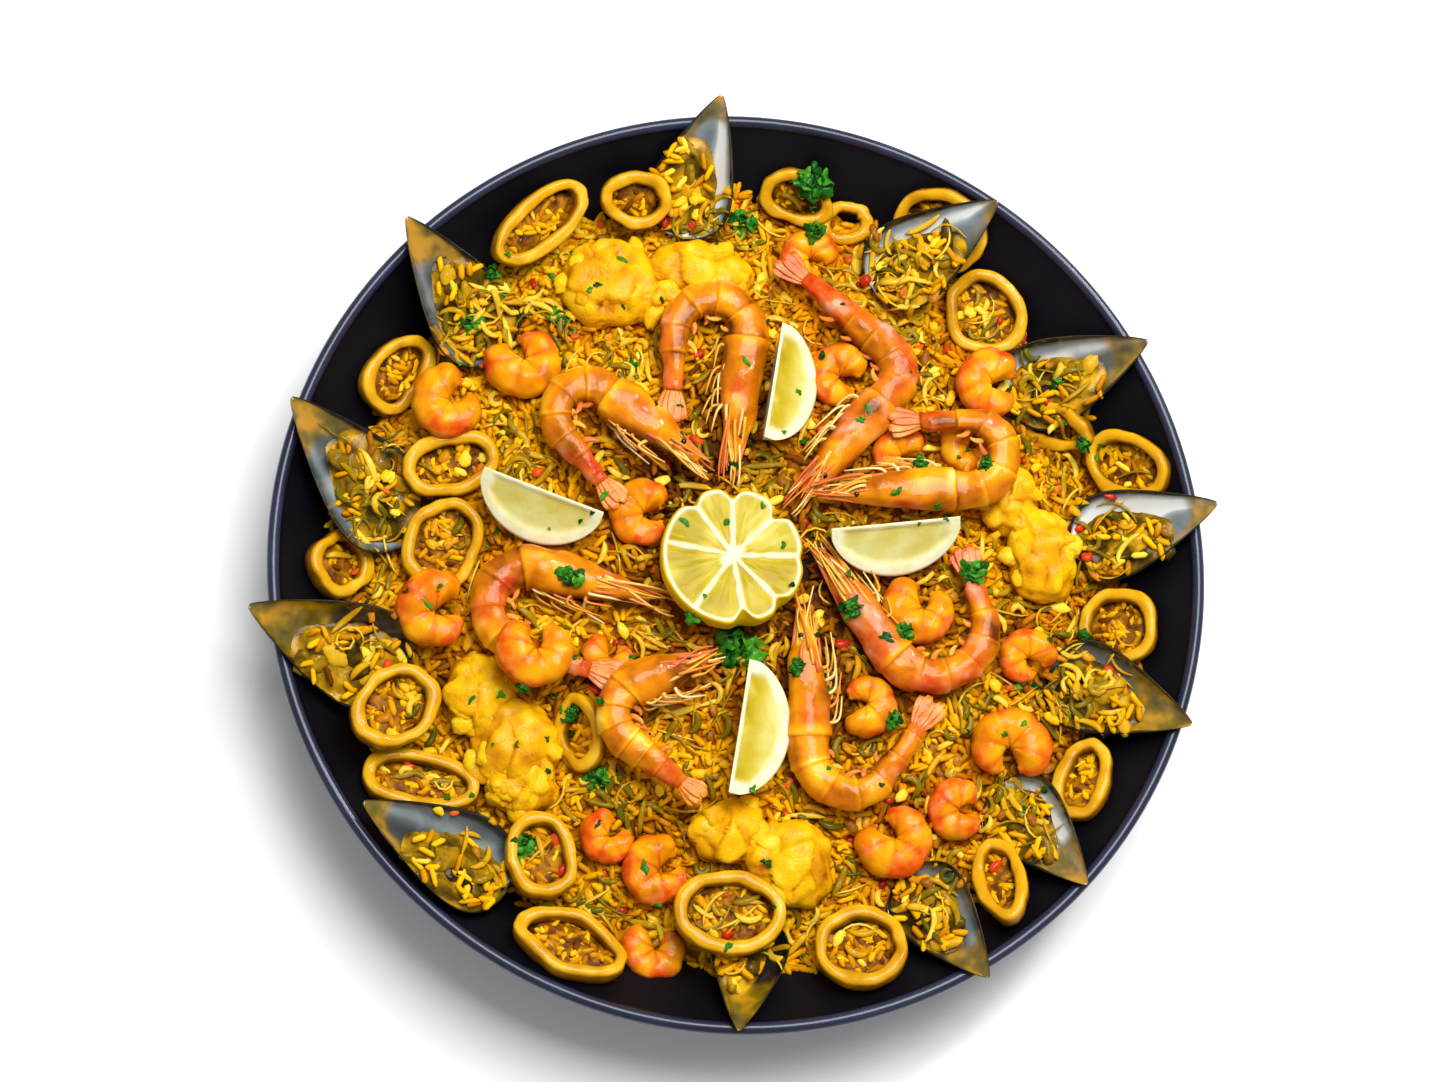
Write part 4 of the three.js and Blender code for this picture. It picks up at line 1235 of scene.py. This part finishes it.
class PAELLA_OT_shrimps(bpy.types.Operator):
    """Makes the peeled shrimps"""

    bl_idname = "paella.shrimps"
    bl_label = "Shrimps"

    def execute(self, context):
        finishes = [boiled_shrimp()]
        sunk = []
        for number, piece, node in numbered("shrimp", SHRIMPS):
            forms = laid([as_tall(shrimp(piece, number), node)], piece, node)
            make(f"boiled_{node}", forms, finishes, "shrimp_meat", node)
        for number, piece in enumerate(SUNK_SHRIMPS, 60):
            height = heap_height(*piece["at"]) + SUNK_SHRIMP_LIFT
            sunk += laid([shrimp(piece, number)], piece, height=height)
        make("shrimps_in_rice", [kept_in(form) for form in sunk], finishes, "shrimp_meat")
        return {"FINISHED"}


# ---------------------------------------------------------------- the mussels


def shell_grid(length, stations, across):
    """Outside and inside of a half shell, open upwards, from the hinge along +X."""
    t, v = stations[:, None], across[None]
    form = 1.46 * t**0.8 * (1 - t**5) ** 0.6
    half = SHELL_WIDTH / 2 * length * form
    depth = SHELL_DEPTH * length * form**0.8
    wall = np.minimum(SHELL_WALL, 0.4 * depth)
    outer = -depth * np.maximum(1 - v**2, 0) ** 0.7
    inner = -(depth - wall) * np.maximum(1 - (v / 0.97) ** 2, 0) ** 0.7
    narrow = half * np.clip(v, -0.975, 0.975)
    return points_at(t * length, half * v, outer), points_at(t * length, narrow, inner)


def mussel_shell(piece, seed, outer, inner, t, v):
    """The half shell, dark outside, pearly inside with a painted highlight, stained by stock from the
    hinge.
    """
    outer[..., 2] += 0.25 * np.sin(t * 46 + 1.5 * noise(outer, 12, seed)) * (1 - v**2)
    cloud = noise(inner, 10.0, seed + 2)
    lip = step(np.abs(v) + 0.04 * cloud, 0.84, 0.93)
    bare = v * piece["bare"]
    # A paler band along the bare side of the nacre: painted highlight.
    painted_nacre_highlight = np.exp(-(((bare - 0.5 + 0.15 * cloud) / 0.26) ** 2))
    tone = (piece["pearl"] * (0.48 + 0.6 * painted_nacre_highlight) + 0.14 * cloud) * (1 - lip)
    stain = 1 - step(t, piece["sauce"] - 0.1, piece["sauce"] + 0.06) + 0.55 * step(-bare, 0.0, 0.8)
    stain = step(stain + 0.4 * cloud, 0.25, 0.8) * (1 - lip) * 0.88
    shell = slab(inner, outer, tone=np.clip(tone, 0, 1), zone=stain, finishes=(0, 1))
    shell.tone[inner[..., 0].size :] = 0.35
    return shell


def mussel_stock(piece, seed, low, t, bare):
    """Stock that lies on the inside of the shell, low, and fills its wide end."""
    filled = step(t, 0.3 + 0.2 * bare, 0.48 + 0.24 * bare)
    hidden = low[..., 2] - 0.4
    bumps = 0.9 * noise(low, 6.0, seed + 4) + 0.6 * noise(low, 3.0, seed + 5)
    level = MEAT_LEVEL - BARE_DROP * piece["length"] * bare + bumps
    top, bottom = low.copy(), low.copy()
    top[..., 2] = hidden + np.maximum(level - hidden, 0) * filled
    bottom[..., 2] = hidden - 0.4
    shown = step(top[..., 2] - hidden, 0.5, 2.0)
    tone = 0.45 + 0.4 * noise(low, 6.0, seed + 6)
    return slab(top, bottom, tone=tone, zone=shown, finishes=(2, 2))


def mussel_lobes(piece, seed):
    """The meat, in lobes along the side of the shell that isn't bare."""
    draw = np.random.default_rng(seed)
    length, half = piece["length"], SHELL_WIDTH / 2 * piece["length"]
    forms = []
    for k in range(MEAT_LOBES):
        side = -piece["bare"] * half * draw.uniform(-0.1, 0.6)
        sizes = (draw.uniform(4, 8), draw.uniform(2, 4.5), draw.uniform(2.0, 3.2))
        turn = spin(draw, 3.1)
        tone = draw.uniform(0.1, 0.95)
        lobe = blob(sizes, seed * 9 + k, (10, 14), 0.34, 3.5, tone=tone, finish=2)
        forms.append(lobe.moved((length * (0.42 + 0.08 * k), side, MEAT_LEVEL - 1.0), turn))
    return forms


def mussel(piece, seed):
    """A half shell with its pearly inside, stock that fills its wide end, and the meat."""
    stations = np.concatenate([[0.012, 0.03, 0.06], np.linspace(0.1, 0.93, 28), [0.96, 0.98, 0.992]])
    across = np.sin(np.linspace(-np.pi / 2, np.pi / 2, 29))
    outer, inner = shell_grid(piece["length"], stations, across)
    t, v = stations[:, None], across[None]
    shell = mussel_shell(piece, seed, outer, inner, t, v)
    inside = (stations > 0.14) & (stations < 0.97)
    bare = step(v * piece["bare"], -0.1, 0.7)[:, 2:-2]
    stock = mussel_stock(piece, seed, inner[inside][:, 2:-2], t[inside], bare)
    return [shell, stock, *mussel_lobes(piece, seed)]


class PAELLA_OT_mussels(bpy.types.Operator):
    """Makes the mussels in their half shells, and the rice that fell in"""

    bl_idname = "paella.mussels"
    bl_label = "Mussels"

    def execute(self, context):
        settings = context.scene.paella
        draw = np.random.default_rng(3)
        finishes = [mother_of_pearl(), dark_mussel_shell(), mussel_meat()]
        grains = []
        for number, piece, node in numbered("mussel", MUSSELS):
            forms = laid(mussel(piece, number), piece, node)
            make(f"cooked_{node}", forms, finishes, "mussel_shell", node)
            stock = forms[1]
            upper = len(stock.points) // 2
            spots = stock.points[:upper][stock.zone[:upper] > 0.5]
            spots = spots[draw.choice(len(spots), min(SHELL_GRAINS, len(spots)), replace=False)]
            spots = spots + draw.uniform((-1, -1, 0.6), (1, 1, 2.4), spots.shape)
            normals = np.tile(leaning(piece)[:, 2], (len(spots), 1))
            tones = draw.normal(0.55, 0.2, len(spots))
            grains.append(grain_forms(spots, normals, tones, settings, draw))
        make("rice_in_shells", grains, [shared(boiled_rice, settings)], "saffron_rice")
        return {"FINISHED"}


# ---------------------------------------------------------------- the lemon


def lemon_half():
    """Half a lemon, cut face up, its rind notched: flesh in segments, membranes, pith, core."""
    steps = 252
    degrees = np.linspace(-180, 180, steps, endpoint=False)

    def apart(place):
        """Degrees from a place on the rim to each column."""
        return (degrees - place + 180) % 360 - 180

    notch = 0
    for place, depth in LEMON_NOTCHES.items():
        notch = notch + depth * np.exp(-((apart(place) / LEMON_NOTCH_WIDTH) ** 2))
    radius = LEMON_RADIUS - notch
    shares = np.concatenate([[0.03], np.linspace(0.07, 0.88, 30), [0.91, 0.94, 0.965, 0.985, 1.0]])
    angle = np.radians(degrees)
    r = shares[:, None] * radius[None]
    flat = polar(r, angle)
    gap = np.radians(np.min([np.abs(apart(place)) for place in LEMON_MEMBRANES], 0)) * r
    gap = gap + 0.4 * noise(flat, 4.0, 3)
    x, y = flat[..., 0], flat[..., 1]
    core = step(-np.hypot(x * 0.8 + y * 0.6, (y * 0.8 - x * 0.6) * 1.9), -8.0, -3.5)
    membrane = step(-gap, -1.7, -0.6)
    pith = step(r - radius, -3.0, -1.8)
    white = np.maximum.reduce([membrane * 0.85, core, pith])
    vesicle = noise(points_at(degrees / 4.5, r / 6.0), 1.0, 12)
    height = (0.2 * vesicle + 0.5 * step(gap, 1.0, 4.0) - 0.9) * (1 - white) - 0.4 * core
    flat[..., 2] = height - 1.1 * step(shares[:, None], 0.97, 1.0) ** 2 - 0.2
    tone = 0.36 + 0.12 * vesicle + 0.3 * noise(flat, 9.0, 8) - 0.1 * step(gap, 1.0, 5.0)
    loops, tones, zones = [*flat], [*tone], [*white]
    for share, depth, notched in LEMON_RIND:
        loops.append(polar(LEMON_RADIUS * share - notch * notched, angle, -depth))
        tones.append(np.full(steps, 0.5))
        zones.append(np.zeros(steps))
    form = loft(np.array(loops), tone=np.array(tones), zone=np.array(zones))
    faces, top, under = [faces for faces, _ in form.blocks]
    is_cut = faces.min(1) // steps < len(shares) - 3
    form.blocks = [(faces[is_cut], 0), (faces[~is_cut], 1), (top, 0), (under, 1)]
    return form


def lemon_wedge(piece, seed):
    """A wedge of lemon, core edge up: two cut faces with flesh and pith, rind below."""
    side = np.sin(np.linspace(-np.pi / 2, np.pi / 2, 44)) * 0.992
    radius = WEDGE_TIP + (WEDGE_RADIUS - WEDGE_TIP) * (1 - side**2) ** 0.6
    half = np.radians(WEDGE_ANGLE / 2)
    down = np.linspace(0.02, 1, 20)
    spread = np.linspace(-half, half, 14)[1:-1]
    share = np.concatenate([down, np.ones(len(spread)), down[::-1]])
    angle = np.concatenate([np.full(down.size, -half), spread, np.full(down.size, half)])
    face = (np.abs(angle) >= half).astype(float)
    r = radius[:, None] * share[None]
    x = side[:, None] * piece["length"] / 2
    rim = radius[:, None] * (1 - share[None])
    end = (1 - np.abs(side[:, None])) * piece["length"] / 2
    core = step(-r, -3.0, -1.2)
    white = np.maximum.reduce([step(-rim, -7.5, -4.0), step(-end, -7.5, -3.5) + 0 * r, core])
    streak = noise(points_at(x / 5.0 + np.sign(angle) * 9 + r / 6, r / 16.0), 1.0, seed)
    hollow = (0.9 - 0.2 * streak) * (1 - white) * face
    turned = angle[None] - np.sign(angle)[None] * hollow / np.maximum(r, 3.0)
    points = points_at(x, r * np.sin(turned), -r * np.cos(turned))
    golden = np.exp(-(((r - 6.0 - 3 * streak) / 6.5) ** 2)) * piece["gold"]
    tone = 0.9 - 0.16 * piece["gold"] - 0.5 * golden + 0.14 * streak
    rind = (face < 0.5).astype(int)
    rind[down.size - 1] = 1
    return loft(points, tone=np.clip(tone, 0, 1), zone=white * face, finish=rind)


class PAELLA_OT_lemons(bpy.types.Operator):
    """Makes the half lemon and the wedges of lemon"""

    bl_idname = "paella.lemons"
    bl_label = "Lemon"

    def execute(self, context):
        finishes = [cut_lemon(), lemon_rind()]
        forms = laid([lemon_half()], LEMON_HALF, "lemon_half_01")
        make("cut_lemon_half_01", forms, finishes, "lemon", "lemon_half_01")
        for number, piece, node in numbered("lemon_wedge", LEMON_WEDGES):
            forms = laid([lemon_wedge(piece, number)], piece, node)
            make(f"cut_{node}", forms, finishes, "lemon", node)
        return {"FINISHED"}


# ---------------------------------------------------------------- the prawns


def prawn_length(piece):
    """Length of a prawn's middle line."""
    return piece["straight"] + piece["radius"] * math.radians(piece["bend"]) + piece["tail"]


def prawn_line(piece, shares):
    """Places on a prawn's middle line, and its forward and outward directions there."""
    along = shares * prawn_length(piece)
    bend, radius, straight = math.radians(piece["bend"]), piece["radius"], piece["straight"]
    turned = np.clip((along - straight) / radius, 0, bend)
    forward, outward = polar(1, turned), points_at(np.sin(turned), -np.cos(turned))
    beyond = np.maximum(0, along - straight - radius * bend)
    start = points_at(np.minimum(along, straight), radius)
    return start + outward * radius + forward * beyond[..., None], forward, outward


def prawn_body(piece, seed):
    """The head shell and the tail's plates, squarish in section, with a ridge on the back."""
    length, edges = prawn_length(piece), np.array(PLATE_EDGES)
    share = np.concatenate([np.linspace(0.05, 0.93, 72), edges - 0.004, edges + 0.004, edges + 0.012])
    share = np.unique(share)
    centre, _, outward = prawn_line(piece, share)
    wide = np.interp(share, PRAWN_SHARES, PRAWN_WIDTHS)
    tall = np.interp(share, PRAWN_SHARES, PRAWN_HEIGHTS)
    plate = np.searchsorted(edges, share)
    begins, ends = np.insert(edges, 0, 0.0), np.append(edges, 1.0)
    within = (share - begins[plate]) / (ends[plate] - begins[plate])
    flare = np.where(plate > 0, 0.93 + 0.09 * within**2, 0.99 + 0.03 * step(share, 0.36, 0.42))
    flare = flare * (1 + 0.07 * noise(share[:, None] * (0, 0, length), 16.0, seed + 3))
    flare = np.where(plate == len(edges), 0.9, flare)
    turn = circle(26)
    across, rise = np.cos(turn), np.sin(turn)
    squarish = (np.abs(across) ** 2.4 + np.abs(rise) ** 2.4) ** (-1 / 2.4)
    ridge = 1 + 0.05 * step(across, 0.85, 1.0)
    belly = 1 - 0.16 * step(-across, 0.5, 1.0) * step(share, 0.4, 0.46)[:, None]
    out = (wide * flare)[:, None] * across * squarish * ridge * belly
    high = (tall * flare)[:, None] * rise * squarish
    points = centre[:, None] + outward[:, None] * out[..., None]
    points[..., 2] += high
    dents = 1.1 * noise(points, 9.0, seed) + 0.3 * noise(points, 3.0, seed + 1)
    points = points + dents[..., None] * unit(points - centre[:, None])
    groove = (1 - step(within, 0.0, 0.14)) * (plate > 0)
    border = step(within, 0.9, 0.98) * (1 - step(share, 0.9, 0.92))
    lines = points_at(share[:, None] * length / 18, np.arctan2(rise, across) * 1.6)
    streak = noise(lines, 1.0, seed + 6)
    patch = noise(points, 13.0, seed + 2)
    rear = step(share, 0.66, 0.92)[:, None]
    # The back is painted paler as a highlight line, and the front of each plate, where it tucks under
    # the one before, darker as shade; each plate's rear edge is paler and the belly darker.
    tone = 0.43 + 0.16 * step(across, 0.7, 1.0) - 0.14 * groove[:, None] + 0.22 * border[:, None]
    tone = tone + 0.3 * noise(points, 11.0, seed + 4) + 0.22 * streak - 0.16 * step(-across, 0.3, 1.0)
    zone = step(patch + 0.5 * streak + 1.4 * piece["pink"] + 0.7 * rear + 0.2 * across, 0.8, 1.8) * 0.9
    return loft(points, tone=np.clip(tone, 0, 1), zone=zone)


def up(height):
    """A step upwards."""
    return np.array([0, 0, height])


def prawn_head(piece, seed):
    """The beak, a flat spike over the eyes, and the eyes on short stalks."""
    length = prawn_length(piece)
    base, ahead, beside = prawn_line(piece, 0.2)
    top = base + beside * 6.0
    tip = base - ahead * 0.19 * length + beside * 2.5
    beak = bezier(top + ahead * 8, top - ahead * 4, tip + ahead * 8, tip, 9)
    forms = [tube(beak, np.linspace(2.0, 0.35, 9), 8, tone=0.8, finish=1, flat=0.5)]
    for level in (-1, 1):
        eye = base - ahead * 0.075 * length + beside * 2.2 + up(3.0 * level)
        root = base - ahead * 0.04 * length + beside * 1.2 + up(1.5 * level)
        forms.append(tube([root, (root + eye) / 2, eye], [1.0, 0.8, 1.0], 8, finish=1))
        ball = blob([EYE_RADIUS] * 3, seed, (7, 10), 0.02, 3, finish=2)
        forms.append(ball.moved(eye))
    return forms


def prawn_fan(piece):
    """The tail fan, nearly closed: a spine and two blades on each side."""
    back, on, off = prawn_line(piece, 0.9)
    reach = 0.1 * prawn_length(piece) + 4
    along, cross = np.linspace(0, 1, 11)[:, None], circle(12)
    forms = []
    for degrees, long, broad, lift in FAN_BLADES:
        a = math.radians(degrees)
        way, side = on * math.cos(a) + off * math.sin(a), off * math.cos(a) - on * math.sin(a)
        half = broad * np.sqrt(np.clip(1 - (1.9 * along - 0.98) ** 2, 0.02, 1)) * (0.6 + 0.4 * along)
        line = back + way * along * reach * long + up(lift) * along
        thick = 0.75 * np.sin(cross) * (1 - 0.4 * along) + 0.5 * np.cos(cross) ** 2
        blade = line[:, None] + side * (half * np.cos(cross))[..., None] + up(1.0) * thick[..., None]
        forms.append(loft(blade, tone=0.4 + 0.3 * along, zone=0.35 + 0.6 * along * piece["pink"]))
    return forms


def prawn_legs(piece, draw):
    """The walking legs, folded along the inner side, and the swimming legs under the plates."""
    forms = []
    for k in range(LEG_PAIRS):
        hip, go, away = prawn_line(piece, 0.22 + 0.04 * k)
        for level in (-1, 1):
            root = hip - away * 6.0 + up(2.0 * level)
            knee = root - away * draw.uniform(3, 7) - go * draw.uniform(-4, 4)
            knee = knee + up(draw.uniform(-1, 2))
            foot = knee - go * draw.uniform(7, 20) - away * draw.uniform(-3, 3)
            foot = foot - up(draw.uniform(0, 3))
            line = bezier(root, knee, knee, foot, 9)
            radii = np.linspace(0.85, 0.35, 9)
            forms.append(tube(line, radii, 6, tone=draw.uniform(0, 0.6), finish=1))
    for k, edge in enumerate(PLATE_EDGES[:-2]):
        hip, go, away = prawn_line(piece, edge + 0.04)
        root = hip - away * (5.6 - 0.5 * k)
        end = root - away * draw.uniform(4, 6) + go * draw.uniform(2, 6) + up(draw.uniform(-2, 2))
        line = bezier(root, root - away * 3, end - go * 2, end, 8)
        radii = (0.9, 1.2, 1.3, 1.3, 1.1, 0.9, 0.7, 0.4)
        forms.append(tube(line, radii, 8, tone=draw.uniform(0.3, 0.8), finish=1, flat=0.5))
    return forms


def prawn_whiskers(piece, draw):
    """The feelers, in a bundle that runs forward over the beak and bends this way and that."""
    length = prawn_length(piece)
    base, ahead, beside = prawn_line(piece, 0.2)
    forms = []
    for _ in range(FEELERS):
        root = base + ahead * draw.uniform(-8, 8) + beside * draw.uniform(-6, 5)
        root = root + up(draw.uniform(2, 6))
        far = base - ahead * length * draw.uniform(0.13, 0.23) + beside * draw.uniform(-5, 4)
        far = far + up(draw.uniform(-2, 2))
        bend = far + ahead * 8 + beside * draw.uniform(-3, 3)
        line = bezier(root, root - ahead * 7 + up(1.5), bend, far, 10)
        forms.append(tube(line, np.linspace(0.8, 0.35, 10), 5, tone=draw.uniform(0, 0.9), finish=1))
    return forms


def prawn(piece, seed):
    """A whole boiled prawn on its side: shell, beak and eyes, tail fan, legs and feelers."""
    draw = np.random.default_rng(seed + 20)
    shell = [prawn_body(piece, seed), *prawn_head(piece, seed), *prawn_fan(piece)]
    return [*shell, *prawn_legs(piece, draw), *prawn_whiskers(piece, draw)]


class PAELLA_OT_prawns(bpy.types.Operator):
    """Makes the eight whole prawns"""

    bl_idname = "paella.prawns"
    bl_label = "Prawns"

    def execute(self, context):
        finishes = [boiled_prawn_shell(), prawn_feelers(), prawn_eye()]
        for number, piece, node in numbered("prawn", PRAWNS):
            forms = laid(prawn(piece, number), piece, node)
            make(f"boiled_{node}", forms, finishes, "prawn_shell", node)
        return {"FINISHED"}


# ---------------------------------------------------------------- parsley, pepper and onion


def leaf(size, seed, long=1.0):
    """A torn parsley leaf: three toothed lobes, cupped, a quarter of a millimetre thick."""
    angle = circle(18)
    lobe = np.abs(np.cos(1.5 * angle + seed))
    shares = np.array([0.5, 1.0])[:, None]
    r = size / 2 * shares * (0.5 + 0.5 * lobe**0.8 + 0.08 * np.cos(9 * angle + seed))
    bend = size * 0.22 * shares**2 * np.sin(2 * angle + seed * 2)
    bend = bend + size * 0.16 * shares**2 * math.sin(seed * 1.7)
    top = points_at(r * np.cos(angle) * long, r * np.sin(angle), bend)
    tone = 0.3 + 0.25 * math.sin(seed * 5) + 0.3 * shares * lobe**3 * math.sin(seed * 3) ** 2
    both = np.concatenate([top, top[::-1] - (0, 0, 0.25)])
    return loft(both, tone=np.clip(np.concatenate([tone, tone[::-1]]), 0, 1))


def sprig(width, seed, draw):
    """A curly sprig: leaves set in a spiral round its middle, standing out."""
    forms = []
    count = 5 + int(width / 2.2)
    for k in range(count):
        angle = k * 2.4 + draw.uniform(-0.4, 0.4)
        away = width * 0.34 * math.sqrt((k + 0.3) / count)
        hinge = Vector((-math.sin(angle), math.cos(angle), 0))
        tilt = Matrix.Rotation(draw.uniform(0.1, 1.0), 3, hinge)
        turn = tilt @ spin(draw)
        place = (away * math.cos(angle), away * math.sin(angle), 1.2 + draw.uniform(0, 0.12) * width)
        forms.append(leaf(width * draw.uniform(0.35, 0.6), seed + k).moved(place, turn))
    return forms


def random_spots(count, draw):
    """Random places in plan over the dish, spread evenly."""
    radius = STREWN_RADIUS * np.sqrt(draw.uniform(0, 1, count))
    angle = draw.uniform(0, 2 * np.pi, count)
    return radius * np.cos(angle), radius * np.sin(angle)


def strips(dish, rice, count, lengths, width, draw):
    """Bent strips draped over the rice and the shells, where nothing lies over them."""
    share = np.linspace(-1, 1, 7)
    x, y = [spot[:, None] for spot in random_spots(count, draw)]
    heading = draw.uniform(0, 2 * np.pi, (count, 1)) + draw.normal(0, 1.0, (count, 1)) * share
    run = draw.uniform(*lengths, (count, 1)) / share.size
    x, y = x + np.cumsum(np.cos(heading) * run, 1), y + np.cumsum(np.sin(heading) * run, 1)
    top, _ = tops(dish, x.ravel(), y.ravel())
    under, _ = tops(rice, x.ravel(), y.ravel())
    free = (top - under < COVERED).reshape(count, -1).all(1)
    z = top.reshape(count, -1)
    z[:, 1:-1] = np.maximum(z[:, 1:-1], (z[:, :-2] + z[:, 2:]) / 2)
    lines = points_at(x, y, z + 0.8)[free & (np.ptp(z, 1) < STRIP_FALL)]
    radii = width * np.sqrt(1.05 - share**2)
    forms = []
    for line in lines:
        thick = radii * draw.uniform(0.8, 1.3)
        forms.append(tube(line, thick, 6, tone=draw.uniform(0, 1), flat=0.45))
    return forms


def bits(dish, rice, x, y, sizes, draw):
    """Small lumps at the places, where nothing lies over the rice and the shells."""
    heights, _ = tops(dish, x, y)
    under, _ = tops(rice, x, y)
    free = heights - under < COVERED
    forms = []
    for k, spot in enumerate(zip(x[free], y[free], heights[free] + 0.4)):
        turn = spin(draw)
        size = np.multiply(sizes, draw.uniform(0.6, 1.2))
        bit = blob(size, k, (6, 10), 0.5, 2.6, tone=draw.uniform(0, 1))
        forms.append(bit.moved(spot, turn))
    return forms


class PAELLA_OT_garnish(bpy.types.Operator):
    """Strews parsley, strips of onion, crumbs of fish and bits of red pepper"""

    bl_idname = "paella.garnish"
    bl_label = "Parsley, pepper and onion"

    def execute(self, context):
        settings = context.scene.paella
        draw = np.random.default_rng(11)
        rice = surface_of(named("rice_", "cooked_"))
        dish = surface_of(named(*FOOD, "rice_", "paella_"))
        onion = []
        for count, lengths, width in ONION_STRIPS:
            onion += strips(dish, rice, count, lengths, width, draw)
        make("onion_strips", onion, [stewed_onion()], "saffron_rice")
        count, sizes = FISH_CRUMBS
        crumbs = bits(dish, rice, *random_spots(count, draw), sizes, draw)
        make("fish_crumbs", crumbs, [shared(stewed_fish)], "fish_flesh")
        count, sizes = PEPPER_BITS
        given = np.array(PEPPERS, float).T
        x, y = np.concatenate([random_spots(count, draw), given], 1)
        make("pepper_bits", bits(dish, rice, x, y, sizes, draw), [stewed_pepper()], "saffron_rice")
        green = fresh_parsley(settings)
        heights, _ = tops(dish, *np.array(SPRIGS, float)[:, :2].T)
        heights = np.minimum(heights, SPRIG_TOP)
        forms = []
        for number, ((x, y, width), height) in enumerate(zip(SPRIGS, heights)):
            forms += [form.moved((x, y, height)) for form in sprig(width, number * 3.1, draw)]
        make("parsley_sprigs", forms, [green], "saffron_rice")
        x, y = random_spots(settings.parsley_flecks, draw)
        heights, normals = tops(dish, x, y)
        heights = np.minimum(heights, FLECK_TOP)
        flecks = []
        for k, place in enumerate(zip(x, y, heights + 0.5)):
            lean = Vector((0, 0, 1)).rotation_difference(Vector(normals[k])).to_matrix()
            turn = lean @ spin(draw)
            torn = leaf(draw.uniform(1.6, 4.2), k * 1.3, draw.uniform(0.7, 2.2))
            flecks.append(torn.moved(place, turn))
        make("parsley_flecks", flecks, [green], "saffron_rice")
        return {"FINISHED"}


# ---------------------------------------------------------------- the stage
# Places and sizes on the stage are in metres, and the lens and the sensor in millimetres.

BOARD_HALF = 3.0
KEY_PLACE = (0.19, 0.41, 1.52)
KEY_SIZE = 0.8
GLINT_PLACE = (0.7, 0.75, 1.2)
GLINT_SIZE = 0.16
GLINT_SHARE = 0.25  # its power, as a share of the key light's
LIT_PLACE = (0, 0, 0.04)  # what the lights are turned to
SKY_STRENGTH = 0.36
CAMERA_DISTANCE = 1.2
CAMERA_AZIMUTH = math.radians(-22.175)
CAMERA_ELEVATION = math.radians(75.324)
CAMERA_TARGET = Vector((-8.946, 9.128, 50)) * MM
CAMERA_LENS = 70.13
SENSOR = 36.0


def soft_light(name, place, size, power):
    """A square soft white light at a place, turned to the dish."""
    data = bpy.data.lights.new(name, "AREA")
    data.size, data.energy = size, power
    lamp = bpy.data.objects.new(name, data)
    bpy.context.scene.collection.objects.link(lamp)
    lamp.location = place
    away = Vector(LIT_PLACE) - Vector(place)
    lamp.rotation_euler = away.to_track_quat("-Z", "Y").to_euler()


class PAELLA_OT_stage(bpy.types.Operator):
    """Sets the white board, the soft lights and the camera"""

    bl_idname = "paella.stage"
    bl_label = "Board, lights and camera"

    def execute(self, context):
        scene = context.scene
        settings = scene.paella
        corners = [(x * BOARD_HALF, y * BOARD_HALF, 0) for x, y in ((-1, -1), (1, -1), (1, 1), (-1, 1))]
        mesh = bpy.data.meshes.new("board")
        mesh.from_pydata(corners, [], [(0, 1, 2, 3)])
        mesh.materials.append(white_board(settings))
        board = bpy.data.objects.new("board", mesh)
        scene.collection.objects.link(board)
        world = bpy.data.worlds.new("studio")
        world.use_nodes = True
        background = world.node_tree.nodes["Background"]
        background.inputs["Color"].default_value = shade("ffffff")
        background.inputs["Strength"].default_value = SKY_STRENGTH
        scene.world = world
        soft_light("key", KEY_PLACE, KEY_SIZE, settings.key_power)
        soft_light("glint", GLINT_PLACE, GLINT_SIZE, settings.key_power * GLINT_SHARE)
        data = bpy.data.cameras.new("camera")
        data.sensor_width, data.lens = SENSOR, CAMERA_LENS
        camera = bpy.data.objects.new("camera", data)
        scene.collection.objects.link(camera)
        level, rise = math.cos(CAMERA_ELEVATION), math.sin(CAMERA_ELEVATION)
        back = Vector((math.sin(CAMERA_AZIMUTH) * level, -math.cos(CAMERA_AZIMUTH) * level, rise))
        across = Vector((0, 1, 0)).cross(back).normalized()
        turn = Matrix((across, back.cross(across), back)).transposed().to_4x4()
        camera.matrix_world = Matrix.Translation(CAMERA_TARGET + back * CAMERA_DISTANCE) @ turn
        scene.camera = camera
        scene.view_settings.view_transform = "Standard"
        return {"FINISHED"}


# ---------------------------------------------------------------- the add-on

OPERATORS = (
    PAELLA_OT_pan,
    PAELLA_OT_rice_bed,
    PAELLA_OT_fish,
    PAELLA_OT_squid,
    PAELLA_OT_mussels,
    PAELLA_OT_shrimps,
    PAELLA_OT_lemons,
    PAELLA_OT_prawns,
    PAELLA_OT_grains,
    PAELLA_OT_garnish,
    PAELLA_OT_stage,
)


class PAELLA_PT_panel(bpy.types.Panel):
    """Lists the settings and the pieces of the dish"""

    bl_idname = "PAELLA_PT_panel"
    bl_label = "Seafood paella"
    bl_space_type = "VIEW_3D"
    bl_region_type = "UI"
    bl_category = "Paella"

    def draw(self, context):
        for name in PaellaSettings.__annotations__:
            self.layout.prop(context.scene.paella, name)
        for operator in OPERATORS:
            self.layout.operator(operator.bl_idname)


CLASSES = (PaellaSettings, *OPERATORS, PAELLA_PT_panel)


def register():
    """Adds the settings, the operators and the panel to Blender."""
    for found in CLASSES:
        bpy.utils.register_class(found)
    bpy.types.Scene.paella = bpy.props.PointerProperty(type=PaellaSettings)


def unregister():
    """Takes them away again."""
    del bpy.types.Scene.paella
    for found in reversed(CLASSES):
        bpy.utils.unregister_class(found)


def main():
    """Makes every piece in order."""
    register()
    for operator in OPERATORS:
        group, name = operator.bl_idname.split(".")
        getattr(getattr(bpy.ops, group), name)()


if __name__ == "__main__":
    main()
